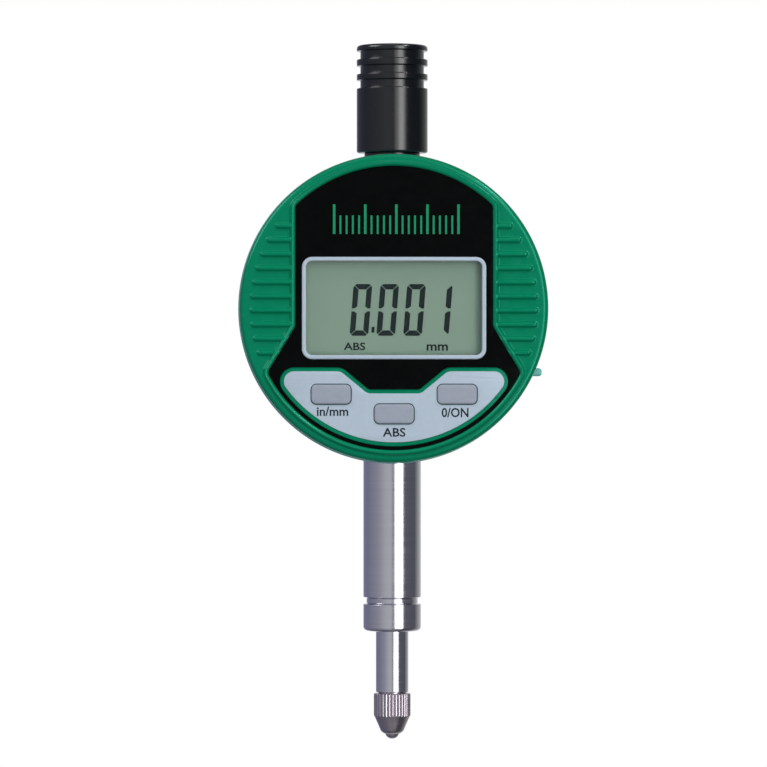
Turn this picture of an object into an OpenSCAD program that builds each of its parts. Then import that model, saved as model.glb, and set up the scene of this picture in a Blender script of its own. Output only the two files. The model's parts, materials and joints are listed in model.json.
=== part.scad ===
// Digital indicator with an 8 mm stem. Millimetres. X is right, Y is back and Z is up.
// The origin is on the spindle axis, in the middle of the stem's clamping length, and the
// display faces -Y. "Forward" distances in the body are measured from the spindle axis
// towards the display, so a forward distance of 13 is the plane y = -13.

/* [Body] */
// Outer radius of the rear case
case_r = 21.15; // [20.5:0.05:21.5]
// Height of the body's centre above the middle of the stem
body_z = 30.4; // [30:0.1:31]
// Thickness of the case's round wall
case_wall = 1.6; // [1.2:0.1:1.8]
// Forward distance of the case's front edge
case_front = 6.4; // [6.2:0.1:6.4]
// Distance of the case's rear edge behind the spindle axis
case_back = 6.8; // [6.6:0.1:7.4]
// Thickness of the wall between the mechanism and the display
partition_t = 1.5; // [1.5:0.1:1.5]
// Thickness of the back plate
back_t = 1.6; // [1.4:0.1:2]

/* [Lug] */
// Thickness of the lug
lug_t = 5; // [4:0.5:7]
// Diameter of the lug's hole
lug_hole_d = 6.5; // [6:0.1:7]
// Distance of the lug's hole behind the back plate
lug_reach = 6.8; // [6.6:0.1:8]
// Radius of the lug's round end
lug_end_r = 6; // [5:0.1:6.5]

/* [Bezel] */
// Outer radius of the front bezel
bezel_r = 20.9; // [20.6:0.05:21]
// Forward distance of the bezel's face
bezel_front = 13; // [12.9:0.05:13.2]
// Height of the lip and the finger ribs above the bezel's rim
lip_height = 0.4; // [0.3:0.05:0.5]
// Width of the lip round the fascia
lip_width = 0.85; // [0.6:0.05:0.9]
// Radius of the bezel's front edge
bezel_edge = 0.7; // [0.3:0.1:0.8]
// Radius of the fascia's round edge
fascia_r = 19.18; // [19:0.02:19.3]
// Half the width of the fascia between its straight sides
fascia_side = 13.34; // [13:0.02:13.6]
// Height of the knee where the fascia starts to widen, from the body's centre
fascia_knee = -2.5; // [-3:0.1:-2]
// Angle at which the fascia widens below the knee
fascia_flare = 31.1; // [28:0.1:33]
// Number of finger ribs on each side
rib_count = 10; // [8:1:10]
// Pitch of the finger ribs
rib_pitch = 1.904; // [1.8:0.002:1.95]
// Height of the highest rib, from the body's centre
rib_top = 11.1; // [11:0.05:11.2]

/* [Display] */
// Half the width of the window trim, outside
trim_half_w = 12.47; // [12:0.01:12.6]
// Half the height of the window trim, outside
trim_half_h = 6.92; // [6.6:0.01:7]
// Width of the trim's visible line
trim_line = 0.57; // [0.4:0.01:0.7]
// Height of a digit
digit_h = 6.94; // [6:0.02:7.2]
// Width of a digit
digit_w = 2.43; // [2.2:0.01:2.6]
// Width of a segment
segment_w = 0.61; // [0.5:0.01:0.7]
// Pitch of the digits
digit_pitch = 3.63; // [3.5:0.01:3.7]
// Slant of the digits from vertical, in degrees
digit_slant = 4.6; // [0:0.1:6]

/* [Keypad] */
// Radius of the keypad plate's lower edge
keypad_r = 18.17; // [18:0.01:18.2]
// Height of the keypad plate's top edge, from the body's centre
keypad_top = -8.55; // [-8.7:0.05:-8.5]
// Height of the notch's floor in the keypad plate's top edge
notch_floor = -11.54; // [-11.6:0.02:-11.4]
// Width of a key
key_w = 5.35; // [5:0.05:5.4]
// Height of a key
key_h = 2.65; // [2.4:0.05:2.7]
// Press travel of a key
key_travel = 0.3; // [0.2:0.05:0.3]

/* [Stem and spindle] */
// Diameter of the clamping stem
stem_d = 8; // [8:0.01:8]
// Clamping length of the stem
clamp_length = 18.4; // [18:0.1:18.4]
// Diameter of the spindle rod
rod_d = 4.5; // [4.4:0.05:4.6]
// Measuring travel of the spindle
spindle_travel = 8; // [6:0.5:8]
// Diameter of the contact point's knurl
contact_d = 5.07; // [4.8:0.01:5.2]
// Radius of the contact ball
ball_r = 1; // [0.8:0.05:1.2]
// Number of flutes around the contact point
flute_count = 30; // [20:1:32]

/* [Dust cap] */
// Diameter of the dust cap
cap_d = 9.8; // [9.4:0.1:10]
// Height of the dust cap
cap_h = 15; // [15:0.1:15]
// Diameter of the dust cap in its grooves
cap_groove_d = 8.8; // [8.6:0.1:9]

/* [Battery drawer] */
// Diameter of the button cell
cell_d = 11.6; // [11.6:0.1:11.6]
// Thickness of the button cell
cell_t = 5.4; // [5.2:0.1:5.4]
// How far the fingernail lip stands out of the case
lip_reach = 1.2; // [0.8:0.05:1.4]

/* [Hidden] */
$fn = 96;
cut = 0.5;          // how far a cutting shape runs past what it cuts
fit_gap = 0.05;     // radial gap of a running fit
glue_gap = 0.03;    // gap around a piece that is bonded in

stem_r = stem_d / 2;
rod_r = rod_d / 2;
bore_r = 3;                               // bore for the bushings
run_r = rod_r + 0.03;                     // bore of the bushings
loose_r = rod_r + 0.15;                   // bores that only clear the rod
case_bottom = body_z - case_r;
case_top = body_z + case_r;
inner_r = case_r - case_wall;
chamber_front = case_front - partition_t;

// Stem, from its lower end up
stem_end = -13.9;
stem_edge = 0.6;
collar_top = -10.2;
groove_r = 3.55;
groove_bevel = 0.2;
stem_land = clamp_length / 2;
socket_r = stem_r - 0.2;                  // neck below the shoulder, inside the case
socket_gap = 0.03;
socket_top = case_bottom + 1;
spigot_r = 3.5;
spigot_top = 15.4;
stem_boss_top = 16;
seal_bottom = stem_end + 1;
seal_top = seal_bottom + 1;
bushing_top = seal_top + 10;
boss_r = 5.2;

// Spindle, from its lower end up
tip_z = -28.8;
ball_z = tip_z + ball_r;
knurl_bottom = -25.7;
knurl_top = -22.5;
contact_top = -22.25;
cone_high = [1.58, -27.68];               // radius and height where the cone turns in to the ball
cone_low = [1.06, -28.12];                // rim of the ball's seat
neck_r = 1.9;
stud_r = 1.25;
stud_top = -17;
rod_top = 57;
bumper_top = 19.36;
bumper_r = 3.8;
carriage_low = bumper_top + 0.04;
carriage_high = body_z - 1;
carriage_mid = (carriage_low + carriage_high) / 2;
carriage_x = [-6, 4.2];
carriage_front = 3.1;
carriage_back = 4.4;
clamp_back = 3.2;                         // distance of the clamp screw behind the axis
clamp_r = 0.7;
pin_r = 0.75;
pin_z = body_z - 6;

// Top boss and sleeve
top_boss_bottom = 43.4;
upper_seat = top_boss_bottom + 0.5;
upper_bushing_top = 47;
sleeve_r = 3.84;
sleeve_seat = 50.6;
cap_bottom = 52;
cap_top = cap_bottom + cap_h;
cap_bore_r = 3.35;
sleeve_top = 55.5;
cap_roof = 1.4;

// Display head: forward distances
skirt_back = case_front + 0.1;
rim_front = bezel_front - lip_height;
bezel_bore_r = 19.27;
spigot_out_r = bezel_bore_r - 0.07;
spigot_in_r = 17.6;
spigot_front = 8.8;
floor_front = 12.1;
floor_back = 11.6;
fascia_front = 12.7;
trim_front = 12.75;
island_front = 12.35;
keypad_front = 12.65;
lens_front = floor_back + 0.3;
segment_plane = [11.15, 11.2];
rear_glass_back = 9.6;
board_front = 8.5;
board_back = 7.6;
board_r = 17.2;
carrier_r = 17.3;
glass_half = [12.7, 7.2];
trim_corner = 1.4;
island_rim = 0.55;
key_gap = 0.1;
key_corner = 0.7;
key_front = 12.95;
key_flange = [10.95, 11.55];
key_flange_edge = 0.5;
plunger_end = 10.4;
ring_z = 7.4;                             // snap ring
ring_wire = 0.4;
ring_r = (bezel_bore_r + spigot_out_r) / 2;
seal_ring_z = 8.3;
seal_ring_half = 0.25;
seal_groove_r = 18.7;
stop_r = 15;
stop_pin_r = 0.8;
stop_turn = 135;
stop_floor = 5.5;                         // floor of the arc that the stop pin runs in
stop_pin_front = board_front + 1.1;
head_screw_r = 0.7;
head_boss_r = 1.5;
head_boss_back = 9.3;
head_screws = [for (a = [40, 140, 199, 341]) 15.4 * [cos(a), sin(a)]];
keys = [[-8.52, -11.66], [0, -14.31], [8.52, -11.66]];

// Mechanism: places measured from the body's centre, forward distances along Y
board_rect = [[-6.3, -13.9], [6.3, 12]];
sensor_board_y = [4.1, chamber_front];
sensor_chip_rect = [[-2.5, 7.5], [2.5, 11]];
main_chip_size = [8, 6];
scale_rect = [[-4.8, -10.5], [4.8, -1.5]];
sensor_screws = [[-5, -12.6], [5, -12.6], [-5, 10.5], [5, 10.5]];
rail_x = [-9.6, -6.6];
rail_z = [-11, 8];
rail_back = -2;
rail_screws = [-9.5, 6.5];
rail_screw_r = 0.8;
spring_r = 3;
spring_wire = 0.25;
spring_turns = 8;
flex_in = 5;
flex_out = 11;
flex_turns = 2.5;
flex_t = 0.16;
flex_y = [6.55, 7.4];
flex_window = 1.3;                        // half the height of the flex's window

// Battery drawer
cell_at = [12.4, -3.3];
tray_x = 6.2;
drawer_face_x = 18.3;
drawer_z = [-9.9, 3.3];
drawer_half_y = 3.3;
tray_half_y = 2.75;
drawer_gap = 0.1;
lip_z = -8.65;
lip_h = 1.1;
contact_x = [5.2, 14.5];
contact_t = 0.3;
positive_z = [-6, -3.6];
negative_z = [-2.4, -0.4];
contact_face = tray_half_y + 0.05;

// Back plate
back_screw_r = 1;
back_screws_at = [for (a = [50, 130, 230, 310]) 17.2 * [cos(a), sin(a)]];
back_boss_r = 2.2;
screw_tip = 2.4;
gasket_r = [19.75, 20.55];
gasket_t = 0.5;

green = [0.04, 0.42, 0.31];
black = [0.06, 0.06, 0.07];
steel = [0.72, 0.72, 0.76];
dark_steel = [0.45, 0.45, 0.5];
brass = [0.78, 0.62, 0.3];
board_green = [0.1, 0.35, 0.16];
key_grey = [0.6, 0.64, 0.7];
silver = [0.72, 0.78, 0.82];

// ---- Placing and simple shapes ----

// Puts a shape drawn flat (X right, Y up, Z forward) on the body's centre
module on_body() {
    translate([0, 0, body_z]) rotate([90, 0, 0]) children();
}

// Extrudes a flat outline between two forward distances
module slab(back, front) {
    on_body() translate([0, 0, back]) linear_extrude(front - back) children();
}

// Turns a section of (radius, forward distance) about the body's axis
module turned() {
    on_body() rotate_extrude() children();
}

// Section rectangle between two radii and two heights
module band(r1, r2, low, high) {
    translate([r1, low]) square([r2 - r1, high - low]);
}

// Round tube about the spindle axis
module tube(r_out, r_in, low, high) {
    rotate_extrude() band(r_in, r_out, low, high);
}

// Round bar about the spindle axis
module bar(r, low, high) {
    translate([0, 0, low]) cylinder(r = r, h = high - low);
}

// Rectangle between two corners
module rect(low, high) {
    translate(low) square(high - low);
}

// Rectangle about the middle, with round corners
module rounded_rect(half_w, half_h, r) {
    square([2 * half_w, 2 * (half_h - r)], center = true);
    square([2 * (half_w - r), 2 * half_h], center = true);
    for (x = [-1, 1], y = [-1, 1])
        translate([x * (half_w - r), y * (half_h - r)]) circle(r);
}

// Screw along the body's axis, its head at the back
module cap_screw(at, head_r, head_back, seat, shank_r, tip) {
    slab(head_back, seat) translate(at) circle(head_r);
    slab(seat, tip) translate(at) circle(shank_r);
}

// ---- Outlines ----

// The fascia's outline, grown by a margin
module fascia_outline(grow = 0) {
    knee = [fascia_side + grow, fascia_knee + grow * tan(fascia_flare / 2)];
    foot = knee + 2 * case_r * [sin(fascia_flare), -cos(fascia_flare)];
    intersection() {
        circle(fascia_r + grow);
        polygon([
            [-knee.x, case_r], [-knee.x, knee.y], [-foot.x, foot.y],
            [foot.x, foot.y], [knee.x, knee.y], [knee.x, case_r]
        ]);
    }
}

// The keypad plate's outline, grown by a margin: a round lower edge, two lobes and a notch
module keypad_outline(grow = 0) {
    lobe_r = 1.4;
    notch_x = [3.63, 7.25];
    offset(r = grow) offset(r = lobe_r) offset(delta = -2 * lobe_r) offset(delta = lobe_r)
        difference() {
            intersection() {
                circle(keypad_r);
                rect([-case_r, -case_r], [case_r, keypad_top]);
            }
            polygon([
                [-notch_x[1], keypad_top], [-notch_x[0], notch_floor],
                [notch_x[0], notch_floor], [notch_x[1], keypad_top], [0, 0]
            ]);
        }
}

// The three key openings, grown by a margin
module key_outlines(grow = 0) {
    for (at = keys) translate(at) rounded_rect(key_w / 2 + grow, key_h / 2 + grow, key_corner);
}

// ---- Case ----

module case_section() {
    band(inner_r, case_r, -case_back, case_front);
    band(0, inner_r, chamber_front, case_front);
    band(spigot_in_r, spigot_out_r, chamber_front, spigot_front);
}

module case_bosses() {
    intersection() {
        slab(-case_back, case_front) circle(case_r - case_wall / 2);
        union() {
            bar(boss_r, case_bottom, stem_boss_top);
            bar(boss_r, top_boss_bottom, case_top);
            slab(-case_back, chamber_front) for (at = back_screws_at)
                translate(at) circle(back_boss_r);
            // rails above and below the battery drawer
            slab(-drawer_half_y, chamber_front) {
                rect([7, drawer_z[1] + drawer_gap], [case_r, drawer_z[1] + 1.1]);
                rect([7, drawer_z[0] - 1.1], [case_r, drawer_z[0] - drawer_gap]);
            }
        }
    }
}

module rear_case() {
    color(green) difference() {
        union() {
            turned() case_section();
            case_bosses();
        }
        // stem socket and spigot hole
        bar(socket_r + socket_gap, case_bottom - cut, socket_top);
        bar(spigot_r, case_bottom, spigot_top);
        bar(loose_r + 0.3, spigot_top - cut, stem_boss_top + cut);
        // upper bushing and sleeve
        bar(loose_r, top_boss_bottom - cut, case_top);
        bar(bore_r, upper_seat, case_top);
        bar(spigot_r, upper_bushing_top, case_top);
        bar(sleeve_r, sleeve_seat, case_top + cut);
        // battery drawer
        slab(-drawer_half_y - drawer_gap, drawer_half_y + drawer_gap)
            rect([15, drawer_z[0] - drawer_gap], [case_r + 1, drawer_z[1] + drawer_gap]);
        // arc that limits the turn of the display
        on_body() rotate([0, 0, 90 - stop_turn]) rotate_extrude(angle = 2 * stop_turn)
            band(stop_r - stop_pin_r - 0.1, stop_r + stop_pin_r + 0.1, stop_floor,
                case_front + cut);
        slab(stop_floor, case_front + cut) for (a = [90 - stop_turn, 90 + stop_turn])
            translate(stop_r * [cos(a), sin(a)]) circle(stop_pin_r + 0.1);
        // window for the flex
        slab(chamber_front - cut, case_front + cut)
            rect([flex_in - 1, -flex_window], [flex_in + 1, flex_window]);
        // ring grooves in the display's spigot
        turned() {
            translate([ring_r, ring_z]) circle(ring_wire);
            band(seal_groove_r, case_r, seal_ring_z - seal_ring_half, seal_ring_z + seal_ring_half);
        }
        // gasket groove
        turned() band(gasket_r[0], gasket_r[1], -case_back - cut, -case_back + gasket_t);
        // screw holes
        slab(-case_back - cut, -screw_tip) for (at = back_screws_at)
            translate(at) circle(back_screw_r);
        slab(chamber_front - cut, case_front - 0.4) {
            for (at = sensor_screws) translate(at) circle(head_screw_r);
            for (z = rail_screws) translate([(rail_x[0] + rail_x[1]) / 2, z])
                circle(rail_screw_r);
        }
    }
}

module lug_back() {
    color(green) difference() {
        union() {
            turned() {
                band(0, case_r - 0.4, -case_back - back_t, -case_back);
                band(0, case_r, -case_back - back_t + 0.4, -case_back);
                translate([case_r - 0.4, -case_back - back_t + 0.4]) circle(0.4);
            }
            translate([-lug_t / 2, 0, body_z]) rotate([90, 0, 90]) linear_extrude(lug_t) {
                rect([case_back + 0.1, -lug_end_r], [case_back + back_t + lug_reach, lug_end_r]);
                translate([case_back + back_t + lug_reach, 0]) circle(lug_end_r);
            }
        }
        translate([-lug_t, case_back + back_t + lug_reach, body_z]) rotate([0, 90, 0])
            cylinder(d = lug_hole_d, h = 2 * lug_t);
        on_body() for (at = back_screws_at) translate([at.x, at.y, 0]) back_screw_shape(0.1);
    }
}

// Countersunk screw, drawn flat and forward, its head flush with the back plate
module back_screw_shape(past) {
    head_face = -case_back - back_t;
    translate([0, 0, head_face]) cylinder(r1 = back_screw_r + 0.9, r2 = back_screw_r, h = 0.9);
    translate([0, 0, head_face]) cylinder(r = back_screw_r, h = -screw_tip - head_face);
    translate([0, 0, head_face - past]) cylinder(r = back_screw_r + 0.9, h = past);
}

module back_screws() {
    color(steel) on_body() for (at = back_screws_at) translate([at.x, at.y, 0]) difference() {
        back_screw_shape(0);
        // cross recess
        for (turn = [0, 90]) rotate(turn)
            translate([-1, -0.2, -case_back - back_t - cut]) cube([2, 0.4, cut + 0.5]);
    }
}

module back_gasket() {
    color(black) turned() band(gasket_r[0], gasket_r[1], -case_back, -case_back + gasket_t);
}

// ---- Stem and bushings ----

module stem() {
    color(steel) rotate_extrude() difference() {
        union() {
            band(0, stem_r - stem_edge, stem_end, stem_end + stem_edge);
            translate([stem_r - stem_edge, stem_end + stem_edge]) circle(stem_edge);
            polygon([
                [0, stem_end + stem_edge], [stem_r, stem_end + stem_edge], [stem_r, collar_top],
                [groove_r, collar_top + groove_bevel], [groove_r, -stem_land - groove_bevel],
                [stem_r, -stem_land], [stem_r, stem_land], [socket_r, stem_land],
                [socket_r, socket_top], [spigot_r, socket_top], [spigot_r, spigot_top],
                [0, spigot_top]
            ]);
        }
        band(0, bore_r, seal_bottom, spigot_top + cut);
        band(0, rod_r + 0.1, stem_end - cut, seal_bottom + cut);
    }
}

module lower_bushing() {
    color(brass) tube(bore_r, run_r, seal_top, bushing_top);
}

module wiper_seal() {
    color(black) tube(bore_r, run_r, seal_bottom, seal_top);
}

module upper_bushing() {
    color(brass) tube(bore_r, run_r, upper_seat, upper_bushing_top);
}

module top_sleeve() {
    color(black) rotate_extrude() {
        band(loose_r, spigot_r, upper_bushing_top, sleeve_seat);
        band(loose_r, sleeve_r, sleeve_seat, cap_bottom);
        band(loose_r, cap_bore_r - fit_gap, cap_bottom, sleeve_top);
    }
}

module stop_bumper() {
    color(black) tube(bumper_r, loose_r + 0.2, stem_boss_top, bumper_top);
}

// ---- Spindle ----

module spindle_rod() {
    color(steel) rotate_extrude() difference() {
        polygon([
            [0, contact_top], [rod_r - 0.15, contact_top], [rod_r, contact_top + 0.15],
            [rod_r, rod_top - 0.4], [rod_r - 0.4, rod_top], [0, rod_top]
        ]);
        band(0, stud_r, contact_top, stud_top + 0.5);
    }
}

module contact_point() {
    shoulder_r = contact_d / 2 - 0.1;
    color(dark_steel) difference() {
        rotate_extrude() polygon([
            [0, cone_low[1]], cone_low, cone_high,
            [shoulder_r, knurl_bottom], [contact_d / 2, knurl_bottom + 0.15],
            [contact_d / 2, knurl_top - 0.15], [shoulder_r, knurl_top], [neck_r, knurl_top],
            [neck_r, contact_top], [stud_r, contact_top], [stud_r, stud_top], [0, stud_top]
        ]);
        for (i = [0:flute_count - 1]) rotate(i * 360 / flute_count)
            translate([contact_d / 2 + 0.06, 0, knurl_bottom - 0.6])
                cylinder(r = 0.2, h = knurl_top - knurl_bottom + 1);
        translate([0, 0, ball_z]) sphere(ball_r);
    }
}

module contact_ball() {
    color(steel) translate([0, 0, ball_z]) sphere(ball_r);
}

module carriage() {
    color(dark_steel) difference() {
        translate([carriage_x[0], -carriage_front, carriage_low])
            cube([
                carriage_x[1] - carriage_x[0], carriage_front + carriage_back,
                carriage_high - carriage_low
            ]);
        bar(rod_r, carriage_low - cut, carriage_high + cut);
        // clamping slit and its screw
        translate([-0.3, 0, carriage_low - cut])
            cube([0.6, carriage_back + cut, carriage_high - carriage_low + 2 * cut]);
        carriage_screw_shank(clamp_r, -3.5, carriage_x[1] + cut);
        translate([-4.5, 0, pin_z]) rotate([0, -90, 0]) cylinder(r = pin_r, h = 3);
    }
}

module carriage_screw_shank(r, from, to) {
    translate([from, clamp_back, carriage_mid]) rotate([0, 90, 0]) cylinder(r = r, h = to - from);
}

module carriage_clamp_screw() {
    color(steel) {
        carriage_screw_shank(clamp_r, -3.5, carriage_x[1]);
        carriage_screw_shank(1.1, carriage_x[1], carriage_x[1] + 0.7);
    }
}

module guide_pin() {
    color(steel) translate([-4.5, 0, pin_z]) rotate([0, -90, 0]) cylinder(r = pin_r, h = 3.9);
}

module scale_plate() {
    color(brass) slab(carriage_front, carriage_front + 0.8)
        rect(scale_rect[0], scale_rect[1]);
}

// ---- Mechanism held in the case ----

// Helix of the return spring: ring i of the wire, corner k
function coil_point(i, k, rings, sides) =
    let (turn = 360 * spring_turns * i / (rings - 1),
         mid = carriage_high + spring_wire + 0.05
             + (top_boss_bottom - carriage_high - 2 * spring_wire - 0.1) * i / (rings - 1),
         r = spring_r + spring_wire * cos(360 * k / sides))
    [r * cos(turn), r * sin(turn), mid + spring_wire * sin(360 * k / sides)];

module return_spring() {
    sides = 8;
    rings = 16 * spring_turns + 1;
    points = [for (i = [0:rings - 1], k = [0:sides - 1]) coil_point(i, k, rings, sides)];
    walls = [for (i = [0:rings - 2], k = [0:sides - 1]) let (next = (k + 1) % sides)
        [i * sides + k, i * sides + next, (i + 1) * sides + next, (i + 1) * sides + k]];
    first = [for (k = [sides - 1:-1:0]) k];
    last = [for (k = [0:sides - 1]) (rings - 1) * sides + k];
    color(steel) polyhedron(points, concat(walls, [first, last]));
}

module guide_rail() {
    mid_x = (rail_x[0] + rail_x[1]) / 2;
    color(steel) difference() {
        slab(rail_back, chamber_front) rect([rail_x[0], rail_z[0]], [rail_x[1], rail_z[1]]);
        slab(-pin_r - fit_gap, pin_r + fit_gap)
            rect([rail_x[0] + 1, -7.5], [rail_x[1] + cut, 3.5]);
        slab(rail_back - cut, chamber_front + cut) for (z = rail_screws)
            translate([mid_x, z]) circle(rail_screw_r);
    }
}

module guide_rail_screws() {
    mid_x = (rail_x[0] + rail_x[1]) / 2;
    color(steel) for (z = rail_screws)
        cap_screw([mid_x, z], 1.4, rail_back - 0.9, rail_back, rail_screw_r, case_front - 0.4);
}

module sensor_board() {
    color(board_green) slab(sensor_board_y[0], sensor_board_y[1]) difference() {
        rect(board_rect[0], board_rect[1]);
        for (at = sensor_screws) translate(at) circle(head_screw_r);
    }
}

module sensor_board_screws() {
    color(steel) for (at = sensor_screws)
        cap_screw(at, 1.2, sensor_board_y[0] - 0.8, sensor_board_y[0], head_screw_r,
            case_front - 0.4);
}

module sensor_chip() {
    color(black) slab(sensor_board_y[0] - 0.7, sensor_board_y[0])
        rect(sensor_chip_rect[0], sensor_chip_rect[1]);
}

// Ribbon wound like a clock spring, so that the display can turn
module sensor_flex() {
    steps = 90;
    spiral = function (i, side) let (
        turn = 360 * flex_turns * i / steps,
        r = flex_in + (flex_out - flex_in) * i / steps + side * flex_t / 2)
        [r * cos(turn), r * sin(turn)];
    color([0.75, 0.45, 0.1]) {
        slab(flex_y[0], flex_y[1]) polygon(concat(
            [for (i = [0:steps]) spiral(i, 1)], [for (i = [steps:-1:0]) spiral(i, -1)]));
        slab(sensor_board_y[1], flex_y[1])
            rect([flex_in - flex_t / 2, -0.9], [flex_in + flex_t / 2, 0.9]);
    }
}

module display_snap_ring() {
    color(steel) turned() translate([ring_r, ring_z]) circle(ring_wire);
}

module display_seal_ring() {
    color(black) turned()
        band(seal_groove_r, bezel_bore_r - 0.04, seal_ring_z - seal_ring_half,
            seal_ring_z + seal_ring_half);
}

module battery_contact(z_low, z_high, face_back, face_front) {
    color(brass) {
        slab(min(face_back, sensor_board_y[0]), max(face_front, sensor_board_y[0]))
            rect([contact_x[0], z_low], [contact_x[0] + 0.7, z_high]);
        slab(face_back, face_front) rect([contact_x[0], z_low], [contact_x[1], z_high]);
    }
}

module positive_contact() {
    battery_contact(positive_z[0], positive_z[1], contact_face, contact_face + contact_t);
}

module negative_contact() {
    battery_contact(negative_z[0], negative_z[1], -contact_face - contact_t, -contact_face);
}

// ---- Display head ----

module bezel_section() {
    difference() {
        union() {
            band(0, bezel_r - bezel_edge, skirt_back, rim_front);
            band(0, bezel_r, skirt_back, rim_front - bezel_edge);
            translate([bezel_r - bezel_edge, rim_front - bezel_edge]) circle(bezel_edge);
        }
        band(-1, bezel_bore_r, skirt_back - cut, floor_back);
        translate([ring_r, ring_z]) circle(ring_wire + fit_gap);
    }
}

// Finger ribs on both sides of the fascia, from its lip to a round outer end
module finger_ribs() {
    inner_x = 13.9;
    outer_r = 19.6;
    half = 0.5;
    slab(floor_front, bezel_front) for (side = [0, 1], i = [0:rib_count - 1]) mirror([side, 0, 0]) {
        z = rib_top - i * rib_pitch;
        end_x = sqrt(outer_r * outer_r - z * z) - half;
        rect([inner_x, z - half], [end_x, z + half]);
        translate([end_x, z]) circle(half);
    }
}

module front_bezel() {
    color(green) difference() {
        union() {
            difference() {
                union() {
                    turned() bezel_section();
                    slab(floor_front, bezel_front) fascia_outline(lip_width);
                    finger_ribs();
                }
                slab(floor_front, bezel_front + cut) fascia_outline(glue_gap);
                slab(floor_back - cut, floor_front + cut)
                    rounded_rect(trim_half_w + glue_gap, trim_half_h + glue_gap, trim_corner);
            }
            slab(floor_back, island_front) keypad_outline(island_rim);
            slab(head_boss_back, floor_back) for (at = head_screws)
                translate(at) circle(head_boss_r);
        }
        slab(floor_back - cut, island_front + cut) key_outlines(key_gap);
        slab(head_boss_back - cut, floor_back - 0.2) for (at = head_screws) translate(at) circle(head_screw_r);
    }
}

module fascia_plate() {
    color(black) slab(floor_front, fascia_front) difference() {
        fascia_outline();
        rounded_rect(trim_half_w + glue_gap, trim_half_h + glue_gap, trim_corner);
        keypad_outline(island_rim + glue_gap);
    }
}

module window_trim() {
    color(silver) slab(floor_back, trim_front) difference() {
        rounded_rect(trim_half_w, trim_half_h, trim_corner);
        rounded_rect(trim_half_w - trim_line, trim_half_h - trim_line, trim_corner - trim_line);
    }
}

module window_lens() {
    inset = trim_line + glue_gap;
    color([0.8, 0.85, 0.85, 0.4]) slab(floor_back, lens_front)
        rounded_rect(trim_half_w - inset, trim_half_h - inset, trim_corner - inset);
}

module lcd_front_glass() {
    color([0.7, 0.78, 0.72, 0.5]) slab(segment_plane[1], floor_back)
        square(2 * glass_half, center = true);
}

// One seven-segment cell: parts is a list of segment indices, 0 top, then clockwise, 6 middle
module digit(x, parts) {
    gap = 0.16;
    slope = tan(digit_slant);
    half = segment_w / 2;
    mid = digit_h / 2;
    lean = function (p) [x + p.x + p.y * slope, p.y - digit_h / 2 - 0.25];
    across = function (y) [for (p = [
        [gap, y], [half + gap, y + half], [digit_w - half - gap, y + half],
        [digit_w - gap, y], [digit_w - half - gap, y - half], [half + gap, y - half]]) lean(p)];
    upright = function (at, low, high) [for (p = [
        [at, low + gap], [at + half, low + half + gap], [at + half, high - half - gap],
        [at, high - gap], [at - half, high - half - gap], [at - half, low + half + gap]]) lean(p)];
    left = half;
    right = digit_w - half;
    shapes = [
        across(digit_h - half), upright(right, mid, digit_h - half), upright(right, half, mid),
        across(half), upright(left, half, mid), upright(left, mid, digit_h - half), across(mid)
    ];
    for (i = parts) polygon(shapes[i]);
}

module lcd_segments() {
    zero = [0, 1, 2, 3, 4, 5];
    first_x = -5.95;
    color([0.08, 0.17, 0.17]) slab(segment_plane[0], segment_plane[1]) {
        for (i = [0:2]) digit(first_x + i * digit_pitch, zero);
        digit(first_x + 3 * digit_pitch, [1, 2]);
        translate([first_x + digit_w + 0.5, -digit_h / 2 - 0.1]) square([0.4, 0.75]);
    }
}

module lcd_rear_glass() {
    color([0.5, 0.6, 0.52]) slab(rear_glass_back, segment_plane[0])
        square(2 * glass_half, center = true);
}

module zebra_strips() {
    color([0.85, 0.5, 0.55]) slab(board_front, rear_glass_back) for (side = [-1, 1])
        translate([0, side * 6.6]) square([24, 1.2], center = true);
}

module main_board() {
    color(board_green) slab(board_back, board_front) difference() {
        circle(board_r);
        for (at = head_screws) translate(at) circle(head_screw_r);
        translate([0, stop_r]) circle(stop_pin_r);
    }
}

module main_chip() {
    color(black) slab(board_front, board_front + 0.9) square(main_chip_size, center = true);
}

module display_carrier() {
    color([0.2, 0.2, 0.22]) difference() {
        slab(board_front, floor_back) difference() {
            circle(carrier_r);
            square(2 * (glass_half + [fit_gap, fit_gap]), center = true);
            for (at = head_screws) translate(at) circle(head_boss_r + fit_gap);
            for (at = keys) translate(at)
                square([key_w + 1.35, key_h + 1.15], center = true);
        }
        slab(board_front - cut, stop_pin_front) translate([0, stop_r]) circle(stop_pin_r);
    }
}

module carrier_screws() {
    color(steel) for (at = head_screws)
        cap_screw(at, 1.3, board_back - 0.6, board_back, head_screw_r, floor_back - 0.2);
}

module display_stop_pin() {
    color(steel) slab(stop_floor + 0.1, stop_pin_front) translate([0, stop_r]) circle(stop_pin_r);
}

module keypad_plate() {
    color(silver) slab(island_front, keypad_front) difference() {
        keypad_outline();
        key_outlines(key_gap);
    }
}

module tact_switches() {
    color(black) for (at = keys) {
        slab(board_front, 9.4) translate(at) square([3.6, 2.6], center = true);
        slab(9.4, plunger_end - key_travel - 0.05) translate(at) circle(0.7);
    }
}

module key(at) {
    half_w = key_w / 2;
    half_h = key_h / 2;
    edge = key_flange_edge;
    color(key_grey) {
        slab(key_flange[1], key_front) translate(at) rounded_rect(half_w, half_h, key_corner);
        slab(key_flange[0], key_flange[1]) translate(at)
            rounded_rect(half_w + edge, half_h + 0.4, key_corner);
        slab(plunger_end, key_flange[0]) translate(at) circle(1);
    }
}

module units_button() key(keys[0]);

module abs_button() key(keys[1]);

module zero_button() key(keys[2]);

// ---- Dust cap ----

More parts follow.
